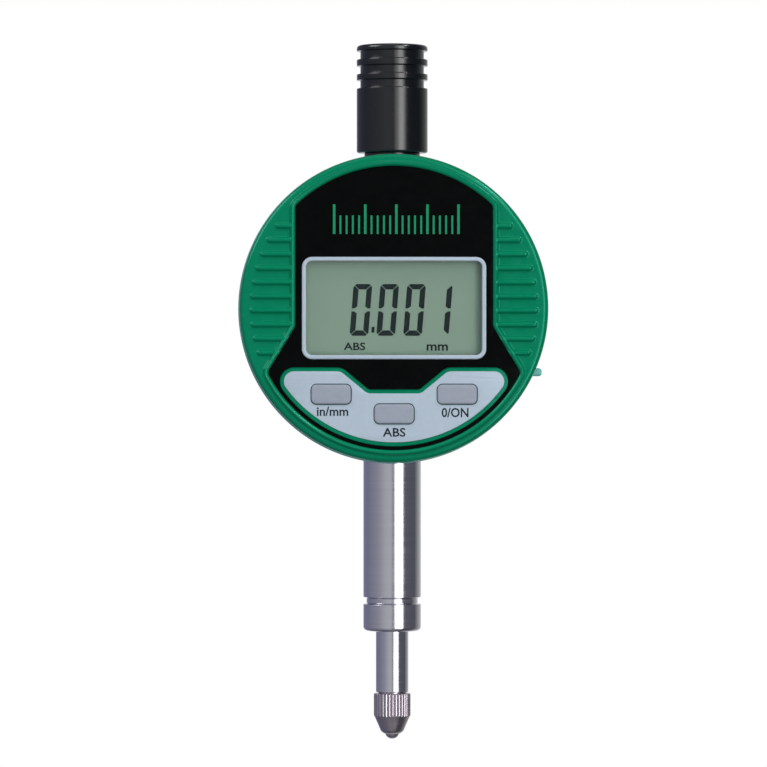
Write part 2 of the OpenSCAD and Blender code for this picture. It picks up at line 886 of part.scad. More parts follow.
module dust_cap() {
    flange_edge = 0.4;
    groove_depth = (cap_d - cap_groove_d) / 2;
    // heights of the rings and grooves, from the top down
    grooves = [[1, 1.15], [3.07, 1.1], [5.03, 1.1]];
    color(black) rotate_extrude() difference() {
        union() {
            band(0, cap_d / 2, cap_bottom, cap_top - flange_edge);
            band(0, cap_d / 2 - flange_edge, cap_bottom, cap_top);
            translate([cap_d / 2 - flange_edge, cap_top - flange_edge]) circle(flange_edge);
        }
        for (g = grooves)
            band(cap_groove_d / 2, cap_groove_d / 2 + groove_depth + cut,
                cap_top - g[0] - g[1], cap_top - g[0]);
        band(0, cap_bore_r, cap_bottom - cut, cap_top - cap_roof);
    }
}

// ---- Battery drawer ----

module battery_drawer() {
    lip_root = sqrt(case_r * case_r - lip_z * lip_z);
    lip_tip = lip_root + lip_reach - lip_h / 2;
    color(green) {
        slab(-tray_half_y, tray_half_y) difference() {
            rect([tray_x, drawer_z[0]], [drawer_face_x + 0.1, drawer_z[1]]);
            translate(cell_at) circle(cell_d / 2 + 0.04);
        }
        slab(-drawer_half_y, drawer_half_y) intersection() {
            circle(case_r);
            rect([drawer_face_x, drawer_z[0]], [case_r, drawer_z[1]]);
        }
        slab(-2.6, 3) {
            rect([drawer_face_x, lip_z - lip_h / 2], [lip_tip, lip_z + lip_h / 2]);
            translate([lip_tip, lip_z]) circle(lip_h / 2);
        }
    }
}

module battery_cell() {
    edge = 0.5;
    color(steel) on_body() translate([cell_at.x, cell_at.y, 0]) rotate_extrude() {
        band(0, cell_d / 2, -cell_t / 2, cell_t / 2 - edge);
        band(0, cell_d / 2 - edge, -cell_t / 2, cell_t / 2);
    }
}

rear_case();
lug_back();
back_screws();
back_gasket();
stem();
lower_bushing();
wiper_seal();
upper_bushing();
top_sleeve();
stop_bumper();
return_spring();
guide_rail();
guide_rail_screws();
sensor_board();
sensor_board_screws();
sensor_chip();
sensor_flex();
display_snap_ring();
display_seal_ring();
positive_contact();
negative_contact();
spindle_rod();
contact_point();
contact_ball();
carriage();
carriage_clamp_screw();
guide_pin();
scale_plate();
front_bezel();
fascia_plate();
window_trim();
window_lens();
lcd_front_glass();
lcd_segments();
lcd_rear_glass();
zebra_strips();
main_board();
main_chip();
display_carrier();
carrier_screws();
keypad_plate();
tact_switches();
display_stop_pin();
units_button();
abs_button();
zero_button();
dust_cap();
battery_drawer();
battery_cell();
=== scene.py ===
"""Looks for the digital indicator: visible pieces rebuilt with rounded edges on the CAD frame."""

import json
import math

import bmesh
import bpy
from mathutils import Matrix, Vector, geometry, kdtree


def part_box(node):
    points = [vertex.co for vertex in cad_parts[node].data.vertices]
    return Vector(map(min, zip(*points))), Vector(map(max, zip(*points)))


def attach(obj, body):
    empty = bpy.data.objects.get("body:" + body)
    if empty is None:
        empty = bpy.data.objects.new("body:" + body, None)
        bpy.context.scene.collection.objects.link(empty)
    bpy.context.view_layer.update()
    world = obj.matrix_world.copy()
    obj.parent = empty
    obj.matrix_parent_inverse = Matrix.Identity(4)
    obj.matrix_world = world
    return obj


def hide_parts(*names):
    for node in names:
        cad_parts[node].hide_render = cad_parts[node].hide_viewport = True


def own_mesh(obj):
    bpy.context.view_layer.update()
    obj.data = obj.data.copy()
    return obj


MM = 0.001
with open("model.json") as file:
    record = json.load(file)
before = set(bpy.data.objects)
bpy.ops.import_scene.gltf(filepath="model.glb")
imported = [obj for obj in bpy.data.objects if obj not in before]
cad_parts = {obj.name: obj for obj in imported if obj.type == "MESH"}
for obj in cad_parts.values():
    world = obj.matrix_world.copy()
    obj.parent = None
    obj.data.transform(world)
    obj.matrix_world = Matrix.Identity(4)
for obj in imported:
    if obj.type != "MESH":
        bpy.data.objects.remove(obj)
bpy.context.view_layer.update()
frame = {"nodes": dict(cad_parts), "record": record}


def box_mm(node):
    low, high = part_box(node)
    return low / MM, high / MM


def front_of(node):
    """How far forward a node's front stands."""
    return -box_mm(node)[0].y


def back_of(node):
    return -box_mm(node)[1].y


# Places and sizes that the CAD frame already fixes, in millimetres. "Forward" is -Y.
bezel_box = box_mm("front_bezel")
BODY_Z = (bezel_box[0].z + bezel_box[1].z) / 2
BEZEL_R = (bezel_box[1].x - bezel_box[0].x) / 2
FACE = front_of("front_bezel")
SKIRT_BACK = back_of("front_bezel")
FASCIA_FRONT = front_of("fascia_plate")
FLOOR_FRONT = back_of("fascia_plate")
TRIM_BACK = back_of("window_trim")
TRIM_FRONT = front_of("window_trim")
LENS_FRONT = front_of("window_lens")
SEGMENT_FRONT = front_of("lcd_segments")
SEGMENT_BACK = back_of("lcd_segments")
KEYPAD_FRONT = front_of("keypad_plate")
ISLAND_FRONT = back_of("keypad_plate")
KEY_FRONT = front_of("zero_button")
CAP_LOW, CAP_HIGH = (p.z for p in box_mm("dust_cap"))
CAP_R = box_mm("dust_cap")[1].x
STEM_LOW = box_mm("stem")[0].z
STEM_R = box_mm("stem")[1].x
ROD_LOW, ROD_HIGH = (p.z for p in box_mm("spindle_rod"))
ROD_R = box_mm("spindle_rod")[1].x
BALL_R = box_mm("contact_ball")[1].x
BALL_Z = box_mm("contact_ball")[0].z + BALL_R
CASE_R = box_mm("back_gasket")[1].x + 0.6
CASE_FRONT = SKIRT_BACK - 0.1
LUG_TIP = box_mm("lug_back")[1].y
PLATE_BACK = box_mm("back_screws")[1].y
DRAWER_LOW, DRAWER_HIGH = box_mm("battery_drawer")
CELL_LOW, CELL_HIGH = box_mm("battery_cell")
SLEEVE_HIGH = box_mm("top_sleeve")[1].z

# Outlines seen from the front, in millimetres from the body's centre
FASCIA_R = 19.18
FASCIA_SIDE = 13.34
KNEE_Z = -2.5
FLARE = math.radians(31.1)
KEYPAD_R = 18.17
KEYPAD_TOP = -8.55
NOTCH_FLOOR = -11.54
NOTCH_HALF = (3.63, 7.25)
TRIM_HALF = (12.47, 6.92)
TRIM_LINE = 0.57
TRIM_CORNER = 1.4
KEYS = {"units_key": (-8.52, -11.66), "abs_key": (0.0, -14.31), "zero_key": (8.52, -11.66)}
KEY_HALF = (5.35 / 2, 2.65 / 2)
KEY_CORNER = 0.7
ISLAND_RIM = 0.55
FASCIA_CORNER = 0.9
KNEE_CORNER = 1.2
KEYPAD_CORNER = 1.4
EDGE = 0.7
BEZEL_BORE = 19.27
RIB_PITCH = 1.904
RIB_TOP = 11.1
RIB_COUNT = 10
RIB_INNER = 13.4
RIB_OUTER = 19.6
RIB_HALF = 0.5
RIB_SLOPE = 0.38
RIB_RISE = 0.9
RIM_DROP = 0.4
LIP_WIDTH = 0.85
LIP_CREST = 0.42
SEAM = 0.1


def at(x, z, forward):
    """A point in metres from body-centred front coordinates in millimetres."""
    return Vector((x, -forward, BODY_Z + z)) * MM


# ---- Meshes ----


def new_object(name, data):
    obj = bpy.data.objects.new(name, data)
    bpy.context.scene.collection.objects.link(obj)
    return obj


def finish_object(name, mesh, body, slot, replaces=(), smooth=32):
    """Makes a visible piece: its looks, the body it moves with and the CAD nodes it replaces."""
    obj = new_object(name, mesh)
    mesh.name = name
    mesh.validate()
    mesh.shade_smooth()
    mesh.set_sharp_from_angle(angle=math.radians(smooth))
    weighted = obj.modifiers.new("Weighted normals", "WEIGHTED_NORMAL")
    weighted.keep_sharp = True
    mesh.materials.append(MATERIALS[slot])
    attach(obj, body)
    if replaces:
        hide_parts(*replaces)
    return obj


def to_mesh(points, faces):
    mesh = bpy.data.meshes.new("piece")
    mesh.from_pydata([tuple(p) for p in points], [], faces)
    shape = bmesh.new()
    shape.from_mesh(mesh)
    bmesh.ops.remove_doubles(shape, verts=shape.verts, dist=1e-7)
    bmesh.ops.recalc_face_normals(shape, faces=shape.faces)
    shape.to_mesh(mesh)
    shape.free()
    return mesh


def add_ring(points, spots):
    """Adds points to a list and gives back their places in it."""
    first = len(points)
    points += spots
    return list(range(first, len(points)))


def bridge(low, high):
    """Quads between two closed rings of the same length."""
    following = [(i, (i + 1) % len(low)) for i in range(len(low))]
    return [[low[i], low[j], high[j], high[i]] for i, j in following]


def bridged(rings):
    return [quad for low, high in zip(rings, rings[1:]) for quad in bridge(low, high)]


def joined(*meshes):
    shape = bmesh.new()
    for mesh in meshes:
        shape.from_mesh(mesh)
    result = bpy.data.meshes.new("piece")
    shape.to_mesh(result)
    shape.free()
    return result


def booled(mesh, cutter, operation="DIFFERENCE"):
    """The mesh after a boolean with another mesh."""
    base, tool = new_object("bool_base", mesh), new_object("bool_tool", cutter)
    modifier = base.modifiers.new("cut", "BOOLEAN")
    modifier.operation = operation
    modifier.solver = "EXACT"
    modifier.object = tool
    bpy.context.view_layer.update()
    graph = bpy.context.evaluated_depsgraph_get()
    result = bpy.data.meshes.new_from_object(base.evaluated_get(graph))
    bpy.data.objects.remove(base)
    bpy.data.objects.remove(tool)
    return result


def lathe_mesh(profile, place, count=128):
    """Turns (radius, height) points about an axis. place(radius, angle, height) gives the point."""
    points, faces, rings = [], [], []
    for radius, height in profile:
        if radius < 1e-6:
            rings.append(add_ring(points, [place(0, 0, height)]) * count)
        else:
            turns = [2 * math.pi * i / count for i in range(count)]
            rings.append(add_ring(points, [place(radius, turn, height) for turn in turns]))
    for quad in bridged(rings):
        kept = [v for k, v in enumerate(quad) if v not in quad[:k]]
        if len(kept) > 2:
            faces.append(kept)
    return to_mesh(points, faces)


def about_spindle(radius, angle, height):
    return Vector((radius * math.cos(angle), radius * math.sin(angle), height)) * MM


def about_axis(x, z):
    """Turns about a line that runs backwards through a point of the front view."""
    return lambda r, a, forward: at(x + r * math.cos(a), z + r * math.sin(a), forward)


about_body = about_axis(0, 0)


def rounded(profile, radii, steps=5):
    """Rounds the corners of an open profile. radii maps a corner's place in the list to its radius."""
    result = []
    for i, point in enumerate(profile):
        radius = radii.get(i, 0)
        if not radius:
            result.append(point)
            continue
        corner = Vector(point)
        back = (Vector(profile[i - 1]) - corner).normalized()
        on = (Vector(profile[i + 1]) - corner).normalized()
        half = back.angle(on) / 2
        reach = radius / math.tan(half)
        centre = corner + (back + on).normalized() * radius / math.sin(half)
        start = corner + back * reach - centre
        end = corner + on * reach - centre
        turn = math.pi - 2 * half
        side = 1 if start.x * end.y - start.y * end.x > 0 else -1
        for k in range(steps + 1):
            spin = Matrix.Rotation(side * turn * k / steps, 2)
            result.append(tuple(centre + spin @ start))
    return result


# ---- Outlines: lists of ((x, z), outward normal), counter-clockwise ----


def line_through(p, q):
    p, q = Vector(p), Vector(q)
    return ("line", p, (q - p).normalized())


def circle_of(radius, clockwise=False, centre=(0, 0)):
    return ("circle", Vector(centre), radius, clockwise)


def shifted(curve, by):
    """The curve moved to its left, which is the inside."""
    if curve[0] == "line":
        return ("line", curve[1] + by * Vector((-curve[2].y, curve[2].x)), curve[2])
    return ("circle", curve[1], curve[2] + (by if curve[3] else -by), curve[3])


def meets(a, b):
    """Where two curves cross."""
    if a[0] == "circle":
        a, b = b, a
    if b[0] == "line":
        cross = a[2].x * b[2].y - a[2].y * b[2].x
        gap = b[1] - a[1]
        return [a[1] + a[2] * ((gap.x * b[2].y - gap.y * b[2].x) / cross)]
    foot = a[1] + a[2] * (b[1] - a[1]).dot(a[2])
    half = math.sqrt(max(b[2] ** 2 - (foot - b[1]).length_squared, 0))
    return [foot - a[2] * half, foot + a[2] * half]


def touch(curve, centre):
    if curve[0] == "line":
        return curve[1] + curve[2] * (centre - curve[1]).dot(curve[2])
    return curve[1] + (centre - curve[1]).normalized() * curve[2]


def arc_points(centre, start, end, clockwise, step):
    a = math.atan2(start.y - centre.y, start.x - centre.x)
    b = math.atan2(end.y - centre.y, end.x - centre.x)
    turn = (a - b if clockwise else b - a) % (2 * math.pi)
    radius = (start - centre).length
    count = max(3, math.ceil(turn * radius / step))
    result = []
    for k in range(count + 1):
        angle = a + (-1 if clockwise else 1) * turn * k / count
        out = Vector((math.cos(angle), math.sin(angle)))
        result.append((centre + out * radius, -out if clockwise else out))
    return result


def outline(curves, corners, step=0.25, corner_step=0.06):
    """curves run counter-clockwise. corners holds (rough place, radius, convex) for the corner
    after each curve."""
    fillets = []
    for i, (place, radius, convex) in enumerate(corners):
        following = curves[(i + 1) % len(curves)]
        by = radius if convex else -radius
        found = meets(shifted(curves[i], by), shifted(following, by))
        centre = min(found, key=lambda p: (p - Vector(place)).length)
        fillets.append((centre, touch(curves[i], centre), touch(following, centre), convex))
    result = []
    for i, curve in enumerate(curves):
        start, end = fillets[i - 1][2], fillets[i][1]
        if curve[0] == "line":
            normal = Vector((curve[2].y, -curve[2].x))
            count = max(1, math.ceil((end - start).length / (4 * step)))
            result += [(start.lerp(end, k / count), normal) for k in range(1, count)]
        else:
            result += arc_points(curve[1], start, end, curve[3], step)[1:-1]
        centre, first, last, convex = fillets[i]
        result += arc_points(centre, first, last, not convex, corner_step)
    return result


def rounded_rect(half_w, half_h, radius, centre=(0, 0), corner_step=0.06):
    corners = [(half_w, -half_h), (half_w, half_h), (-half_w, half_h), (-half_w, -half_h)]
    spots = [Vector(c) + Vector(centre) for c in corners]
    curves = [line_through(spots[i - 1], spots[i]) for i in range(4)]
    return outline(curves, [(s, radius, True) for s in spots], 2.0, corner_step)


def round_outline(radius, count=192, centre=(0, 0)):
    result = []
    for i in range(count):
        out = Vector((math.cos(2 * math.pi * i / count), math.sin(2 * math.pi * i / count)))
        result.append((Vector(centre) + out * radius, out))
    return result


def inset(shape, by):
    return [p - n * by for p, n in shape]


def grown(shape, by):
    """The outline moved outwards, with its normals."""
    return [(p + n * by, n) for p, n in shape]


def fascia_shape():
    foot_x = FASCIA_SIDE + 20 * math.sin(FLARE)
    foot_z = KNEE_Z - 20 * math.cos(FLARE)
    low = Vector((15.55, -11.2))  # roughly where the flare meets the circle
    high = Vector((FASCIA_SIDE, math.sqrt(FASCIA_R**2 - FASCIA_SIDE**2)))
    knee = Vector((FASCIA_SIDE, KNEE_Z))
    low_right = min(
        meets(line_through((foot_x, foot_z), knee), circle_of(FASCIA_R)),
        key=lambda p: (p - low).length,
    )

    def mirrored(p):
        return Vector((-p.x, p.y))

    curves = [
        circle_of(FASCIA_R),
        line_through((foot_x, foot_z), knee),
        line_through(knee, high),
        circle_of(FASCIA_R),
        line_through(mirrored(high), mirrored(knee)),
        line_through(mirrored(knee), (-foot_x, foot_z)),
    ]
    corners = [
        (low_right, FASCIA_CORNER, True),
        (knee, KNEE_CORNER, False),
        (high, FASCIA_CORNER, True),
        (mirrored(high), FASCIA_CORNER, True),
        (mirrored(knee), KNEE_CORNER, False),
        (mirrored(low_right), FASCIA_CORNER, True),
    ]
    return outline(curves, corners)


def keypad_shape():
    top_x = math.sqrt(KEYPAD_R**2 - KEYPAD_TOP**2)
    narrow, wide = NOTCH_HALF
    curves = [
        circle_of(KEYPAD_R),
        line_through((top_x, KEYPAD_TOP), (wide, KEYPAD_TOP)),
        line_through((wide, KEYPAD_TOP), (narrow, NOTCH_FLOOR)),
        line_through((narrow, NOTCH_FLOOR), (-narrow, NOTCH_FLOOR)),
        line_through((-narrow, NOTCH_FLOOR), (-wide, KEYPAD_TOP)),
        line_through((-wide, KEYPAD_TOP), (-top_x, KEYPAD_TOP)),
    ]
    corners = [
        ((top_x, KEYPAD_TOP), True),
        ((wide, KEYPAD_TOP), True),
        ((narrow, NOTCH_FLOOR), False),
        ((-narrow, NOTCH_FLOOR), False),
        ((-wide, KEYPAD_TOP), True),
        ((-top_x, KEYPAD_TOP), True),
    ]
    return outline(curves, [(place, KEYPAD_CORNER, convex) for place, convex in corners])


def plate_mesh(parts, place=at):
    """A flat piece. parts is a list of (outline, section), the outer one first, then its holes.
    A section is a list of (inset, height) from the back to the front."""
    points, faces, backs, fronts = [], [], [], []
    for shape, section in parts:
        rings = [add_ring(points, [place(p.x, p.y, height) for p in inset(shape, by)])
                 for by, height in section]
        faces += bridged(rings)
        backs.append(rings[0])
        fronts.append(rings[-1])
    faces += cap_faces(points, backs) + cap_faces(points, fronts)
    return to_mesh(points, faces)


def cap_faces(points, loops):
    flat = [v for loop in loops for v in loop]
    triangles = geometry.tessellate_polygon([[points[v] for v in loop] for loop in loops])
    return [[flat[i] for i in t] for t in triangles]


def edged(back, front, edge, back_edge=0.0, steps=4):
    """Section with a rounded front edge and, if asked for, a rounded back edge."""
    section = []
    if back_edge:
        for k in range(steps + 1):
            a = math.pi / 2 * k / steps
            section.append((back_edge * (1 - math.sin(a)), back + back_edge * (1 - math.cos(a))))
    else:
        section.append((0, back))
    for k in range(steps + 1):
        a = math.pi / 2 * k / steps
        section.append((edge * (1 - math.cos(a)), front - edge + edge * math.sin(a)))
    return section


def hole_edged(back, front, edge, steps=3):
    """The same for a hole, which widens at its front."""
    return [(-by, height) for by, height in edged(back, front, edge, steps=steps)]


# ---- Materials ----

SLOT_OF_NODE = {p["node"]: p["material_slot"] for p in frame["record"]["subparts"]}
BUMP_DISTANCE = 0.00003


class Nodes:
    """A short way to add shader nodes and join them up. An input is named with underscores for
    its spaces, or by its number, such as _0."""

    def __init__(self, tree):
        self.tree = tree
        tree.nodes.clear()

    def add(self, kind, settings=None, **inputs):
        node = self.tree.nodes.new(kind)
        for key, value in (settings or {}).items():
            setattr(node, key, value)
        for key, value in inputs.items():
            numbered = key[1:].isdigit()
            socket = node.inputs[int(key[1:]) if numbered else key.replace("_", " ")]
            if isinstance(value, bpy.types.NodeSocket):
                self.tree.links.new(value, socket)
            else:
                socket.default_value = value
        return node


def new_material(name):
    material = bpy.data.materials.new(name)
    material.use_nodes = True
    return material, Nodes(material.node_tree)


def surface(name, colour, rough, metal=0.0, specular=0.5, grain=1500, stretch=(1, 1, 1),
            rough_spread=0.06, bump=0.0, bump_grain=4000, tint=0.06, sheen=(1, 1, 1, 1)):
    """Principled material whose colour, gloss and relief vary with fine noise."""
    material, nodes = new_material(name)
    place = nodes.add("ShaderNodeTexCoord")
    spread = nodes.add("ShaderNodeMapping", Vector=place.outputs["Object"], Scale=stretch)
    noise = nodes.add("ShaderNodeTexNoise", Vector=spread.outputs[0], Scale=grain, Detail=3.0)
    gloss = nodes.add("ShaderNodeMapRange", Value=noise.outputs["Fac"], From_Min=0.3, From_Max=0.7,
                      To_Min=max(rough - rough_spread, 0.02), To_Max=min(rough + rough_spread, 1.0))
    darker = (*(c * (1 - tint) for c in colour), 1.0)
    lighter = (*(min(c * (1 + tint), 1) for c in colour), 1.0)
    shade = nodes.add("ShaderNodeMix", {"data_type": "RGBA"}, _0=noise.outputs["Fac"], _6=darker,
                      _7=lighter)
    shader = nodes.add("ShaderNodeBsdfPrincipled", Base_Color=shade.outputs[2],
                       Roughness=gloss.outputs[0], Metallic=metal, Specular_IOR_Level=specular,
                       Specular_Tint=sheen)
    if bump:
        relief = nodes.add("ShaderNodeTexNoise", Vector=spread.outputs[0], Scale=bump_grain, Detail=2.0)
        raised = nodes.add("ShaderNodeBump", Height=relief.outputs["Fac"], Strength=bump,
                           Distance=BUMP_DISTANCE)
        nodes.tree.links.new(raised.outputs[0], shader.inputs["Normal"])
    nodes.add("ShaderNodeOutputMaterial", Surface=shader.outputs[0])
    return material


def clear(name, tint, gloss_share, rough=0.03):
    """A clear sheet: light passes straight through, with a Fresnel reflection on top."""
    material, nodes = new_material(name)
    place = nodes.add("ShaderNodeTexCoord")
    noise = nodes.add("ShaderNodeTexNoise", Vector=place.outputs["Object"], Scale=300.0)
    smear = nodes.add("ShaderNodeMapRange", Value=noise.outputs["Fac"], To_Min=rough,
                      To_Max=rough + 0.04)
    through = nodes.add("ShaderNodeBsdfTransparent", Color=tint)
    shine = nodes.add("ShaderNodeBsdfGlossy", Roughness=smear.outputs[0])
    edge = nodes.add("ShaderNodeFresnel", IOR=1.45)
    share = nodes.add("ShaderNodeMath", {"operation": "MULTIPLY"}, _0=edge.outputs[0], _1=gloss_share)
    mix = nodes.add("ShaderNodeMixShader", _0=share.outputs[0], _1=through.outputs[0],
                    _2=shine.outputs[0])
    nodes.add("ShaderNodeOutputMaterial", Surface=mix.outputs[0])
    return material


TURNED = (0.02, 0.02, 1.0)
GREEN_SHEEN = (0.18, 1.0, 0.8, 1)
MATERIALS = {
    "green_plastic": surface("green plastic", (0.0, 0.172, 0.078), 0.19,
                             sheen=GREEN_SHEEN, grain=900, bump=0.05, bump_grain=5000, tint=0.02),
    "case_plastic": surface("case plastic", (0.112, 0.41, 0.38), 0.3, grain=900,
                            rough_spread=0.02, tint=0.01),
    "dark_cast_metal": surface("dark cast metal", (0.035, 0.04, 0.042), 0.5, grain=1200,
                               bump=0.5, bump_grain=3500, tint=0.1),
    "fascia_black": surface("fascia black", (0.0016, 0.002, 0.002), 0.28, specular=0.03,
                            grain=600, tint=0.05),
    "cap_black": surface("cap black", (0.0003, 0.0012, 0.0026), 0.2, specular=0.66,
                         rough_spread=0.02, bump=0.03, bump_grain=6000),
    "key_grey": surface("key grey", (0.26, 0.29, 0.35), 0.4, bump=0.06),
    "silver_trim": surface("silver trim", (0.375, 0.455, 0.53), 0.42, metal=0.15,
                           bump=0.05),
    "ground_steel": surface("ground steel", (0.66, 0.66, 0.70), 0.13, metal=1.0, grain=6000,
                            stretch=TURNED, rough_spread=0.05, bump=0.03, bump_grain=9000),
    "hardened_steel": surface("hardened steel", (0.45, 0.41, 0.45), 0.27, metal=1.0, grain=900,
                              rough_spread=0.03),
    "ball_steel": surface("ball steel", (0.42, 0.39, 0.43), 0.4, metal=1.0, grain=900),
    "screw_steel": surface("screw steel", (0.55, 0.55, 0.57), 0.3, metal=1.0, grain=2500,
                           bump=0.1),
    "spring_steel": surface("spring steel", (0.42, 0.42, 0.45), 0.28, metal=1.0, grain=2500),
    "bronze": surface("bronze", (0.60, 0.38, 0.17), 0.38, metal=1.0, grain=3000, bump=0.2),
    "contact_brass": surface("contact brass", (0.72, 0.52, 0.22), 0.25, metal=1.0),
    "seal_rubber": surface("seal rubber", (0.02, 0.02, 0.02), 0.75, grain=2000, bump=0.2),
    "zebra_rubber": surface("zebra rubber", (0.55, 0.22, 0.26), 0.6, grain=8000,
                            stretch=(1.0, 0.02, 0.02), tint=0.6),
    "board_laminate": surface("board laminate", (0.01, 0.11, 0.035), 0.35, grain=1200,
                              tint=0.15),
    "chip_epoxy": surface("chip epoxy", (0.012, 0.012, 0.013), 0.55, grain=4000, bump=0.2),
    "flex_film": surface("flex film", (0.40, 0.16, 0.025), 0.35, grain=2500, tint=0.2),
    "carrier_plastic": surface("carrier plastic", (0.03, 0.03, 0.032), 0.5, grain=3000,
                               bump=0.15),
    "lcd_reflector": surface("LCD reflector", (0.435, 0.58, 0.475), 0.6, specular=0.15,
                             grain=2500, tint=0.03),
    "lcd_ink": surface("LCD ink", (0.007, 0.022, 0.022), 0.5, specular=0.1),
    "scale_glass": surface("scale plate", (0.50, 0.33, 0.10), 0.3, metal=0.6, grain=9000,
                           stretch=TURNED, tint=0.4),
    "cell_steel": surface("cell steel", (0.68, 0.68, 0.69), 0.2, metal=1.0, grain=1800),
    "key_print": surface("key print", (0.00699541, 0.01444384, 0.02121901), 0.5, specular=0.2, grain=2500),
    "mark_print": surface("mark print", (0.0, 0.235, 0.105), 0.45, specular=0.2, grain=2500),
    "clear_window": clear("clear window", (0.97, 0.985, 0.98, 1), 0.6),
    "lcd_glass": clear("LCD glass", (0.97, 0.98, 0.97, 1), 0.25, 0.08),
}
for node_name, node_object in frame["nodes"].items():
    node_object.data.materials.clear()
    node_object.data.materials.append(MATERIALS[SLOT_OF_NODE[node_name]])


# ---- Front bezel ----

FASCIA = fascia_shape()
KEYPAD = keypad_shape()
TRIM = rounded_rect(*TRIM_HALF, TRIM_CORNER)
GLUE = 0.03  # gap around a piece that is bonded in
FLAT = 14    # degrees, the sharp angle of pieces that are flat in front


def ray_length(shape, angle):
    """Distance from the centre to the outline at an angle."""
    out = Vector((math.cos(angle), math.sin(angle)))
    for i, (p, _) in enumerate(shape):
        q = shape[(i + 1) % len(shape)][0]
        side_p = out.x * p.y - out.y * p.x
        side_q = out.x * q.y - out.y * q.x
        if side_p <= 0 < side_q and p.dot(out) > 0:
            return p.lerp(q, side_p / (side_p - side_q)).dot(out)
    raise ValueError("the outline does not go round the centre")


def rib_height(x, z):
    """Height of the finger ribs above the floor at a point of the bezel's side, from 0 to 1."""
    nearest = round((RIB_TOP - z) / RIB_PITCH)
    if not 0 <= nearest < RIB_COUNT:
        return 0.0
    across = abs(RIB_TOP - nearest * RIB_PITCH - z)
    reach = math.sqrt(RIB_OUTER**2 - (RIB_TOP - nearest * RIB_PITCH) ** 2)
    along = min(abs(x) - RIB_INNER, reach - abs(x))
    # distance inside a bar with round ends
    if along < RIB_HALF:
        inside = RIB_HALF - math.hypot(RIB_HALF - along, across)
    else:
        inside = RIB_HALF - across
    if inside <= 0:
        return 0.0
    rise = min(inside / RIB_SLOPE, 1.0)
    return RIB_RISE * rise * rise * (3 - 2 * rise)


def lip_height(gap):
    """Height of the bead round the fascia, from 0 to 1, by distance from the fascia's edge."""
    if gap < LIP_CREST:
        return math.sqrt(1 - (1 - gap / LIP_CREST) ** 2) if gap > 0 else 0.0
    if gap < LIP_WIDTH:
        fall = (gap - LIP_CREST) / (LIP_WIDTH - LIP_CREST)
        return 1 - fall * fall * (3 - 2 * fall)
    return 0.0


RIM_FRONT = FACE - RIM_DROP


def bezel_mesh():
    pocket = grown(FASCIA, GLUE)
    spots = 20
    tree = kdtree.KDTree(spots * len(pocket))
    for i, (p, _) in enumerate(pocket):
        q = pocket[(i + 1) % len(pocket)][0]
        for k in range(spots):
            tree.insert((*p.lerp(q, k / spots), 0), i)
    tree.balance()
    fine, coarse = math.radians(0.25), math.radians(0.9)
    side = math.asin((RIB_TOP + 0.8) / RIB_INNER)
    low_side = math.asin((RIB_TOP - (RIB_COUNT - 1) * RIB_PITCH - 0.9) / RIB_INNER)
    angles, angle = [], -math.pi / 2
    while angle < 1.5 * math.pi - 1e-6:
        angles.append(angle)
        from_right = math.pi - angle if angle > math.pi / 2 else angle
        angle += fine if low_side < from_right < side else coarse
    points, faces, columns = [], [], []
    lip_steps = [0, 0.02, 0.06, 0.12, 0.19, 0.27, 0.36, 0.45, 0.54, 0.62, 0.7, 0.78, 0.86]
    flat_steps, edge_steps = 44, 7
    edge_start = BEZEL_R - EDGE
    for angle in angles:
        out = Vector((math.cos(angle), math.sin(angle)))
        start = ray_length(pocket, angle)
        radii = [start + s for s in lip_steps]
        first = radii[-1]
        radii += [first + (edge_start - first) * (k + 1) / flat_steps for k in range(flat_steps)]
        column = [(start, FLOOR_FRONT)]
        for radius in radii:
            spot = out * radius
            gap = tree.find((*spot, 0))[2]
            raised = max(lip_height(gap), rib_height(spot.x, spot.y))
            column.append((radius, RIM_FRONT + RIM_DROP * raised))
        for k in range(1, edge_steps + 1):
            turn = math.pi / 2 * k / edge_steps
            column.append((edge_start + EDGE * math.sin(turn),
                           RIM_FRONT - EDGE + EDGE * math.cos(turn)))
        column += [
            (BEZEL_R, SKIRT_BACK + 0.15), (BEZEL_R - 0.15, SKIRT_BACK),
            (BEZEL_BORE + 0.1, SKIRT_BACK), (BEZEL_BORE, SKIRT_BACK + 0.1),
            (BEZEL_BORE, TRIM_BACK),
        ]
        columns.append(add_ring(points, [at(out.x * r, out.y * r, f) for r, f in column]))
    for here, following in zip(columns, columns[1:] + columns[:1]):
        for k in range(len(here) - 1):
            faces.append([here[k], here[k + 1], following[k + 1], following[k]])
    hole = inset(TRIM, -GLUE)
    front, back = (add_ring(points, [at(p.x, p.y, f) for p in hole]) for f in (FLOOR_FRONT, TRIM_BACK))
    faces += bridge(front, back)
    faces += cap_faces(points, [[c[0] for c in columns], front])
    faces += cap_faces(points, [[c[-1] for c in columns], back])
    return to_mesh(points, faces)


KEY_GAP = 0.1
key_holes = [rounded_rect(KEY_HALF[0] + KEY_GAP, KEY_HALF[1] + KEY_GAP, KEY_CORNER + KEY_GAP, centre)
             for centre in KEYS.values()]
ISLAND_SPAN = (FLOOR_FRONT - 0.2, ISLAND_FRONT + 0.2)
island_parts = [(grown(KEYPAD, ISLAND_RIM), edged(*ISLAND_SPAN, 0.12))]
island_parts += [(hole, [(0, forward) for forward in ISLAND_SPAN]) for hole in key_holes]
island = plate_mesh(island_parts)
finish_object("bezel", joined(bezel_mesh(), island), "display_head", "green_plastic",
              ["front_bezel"])

# ---- Display ----

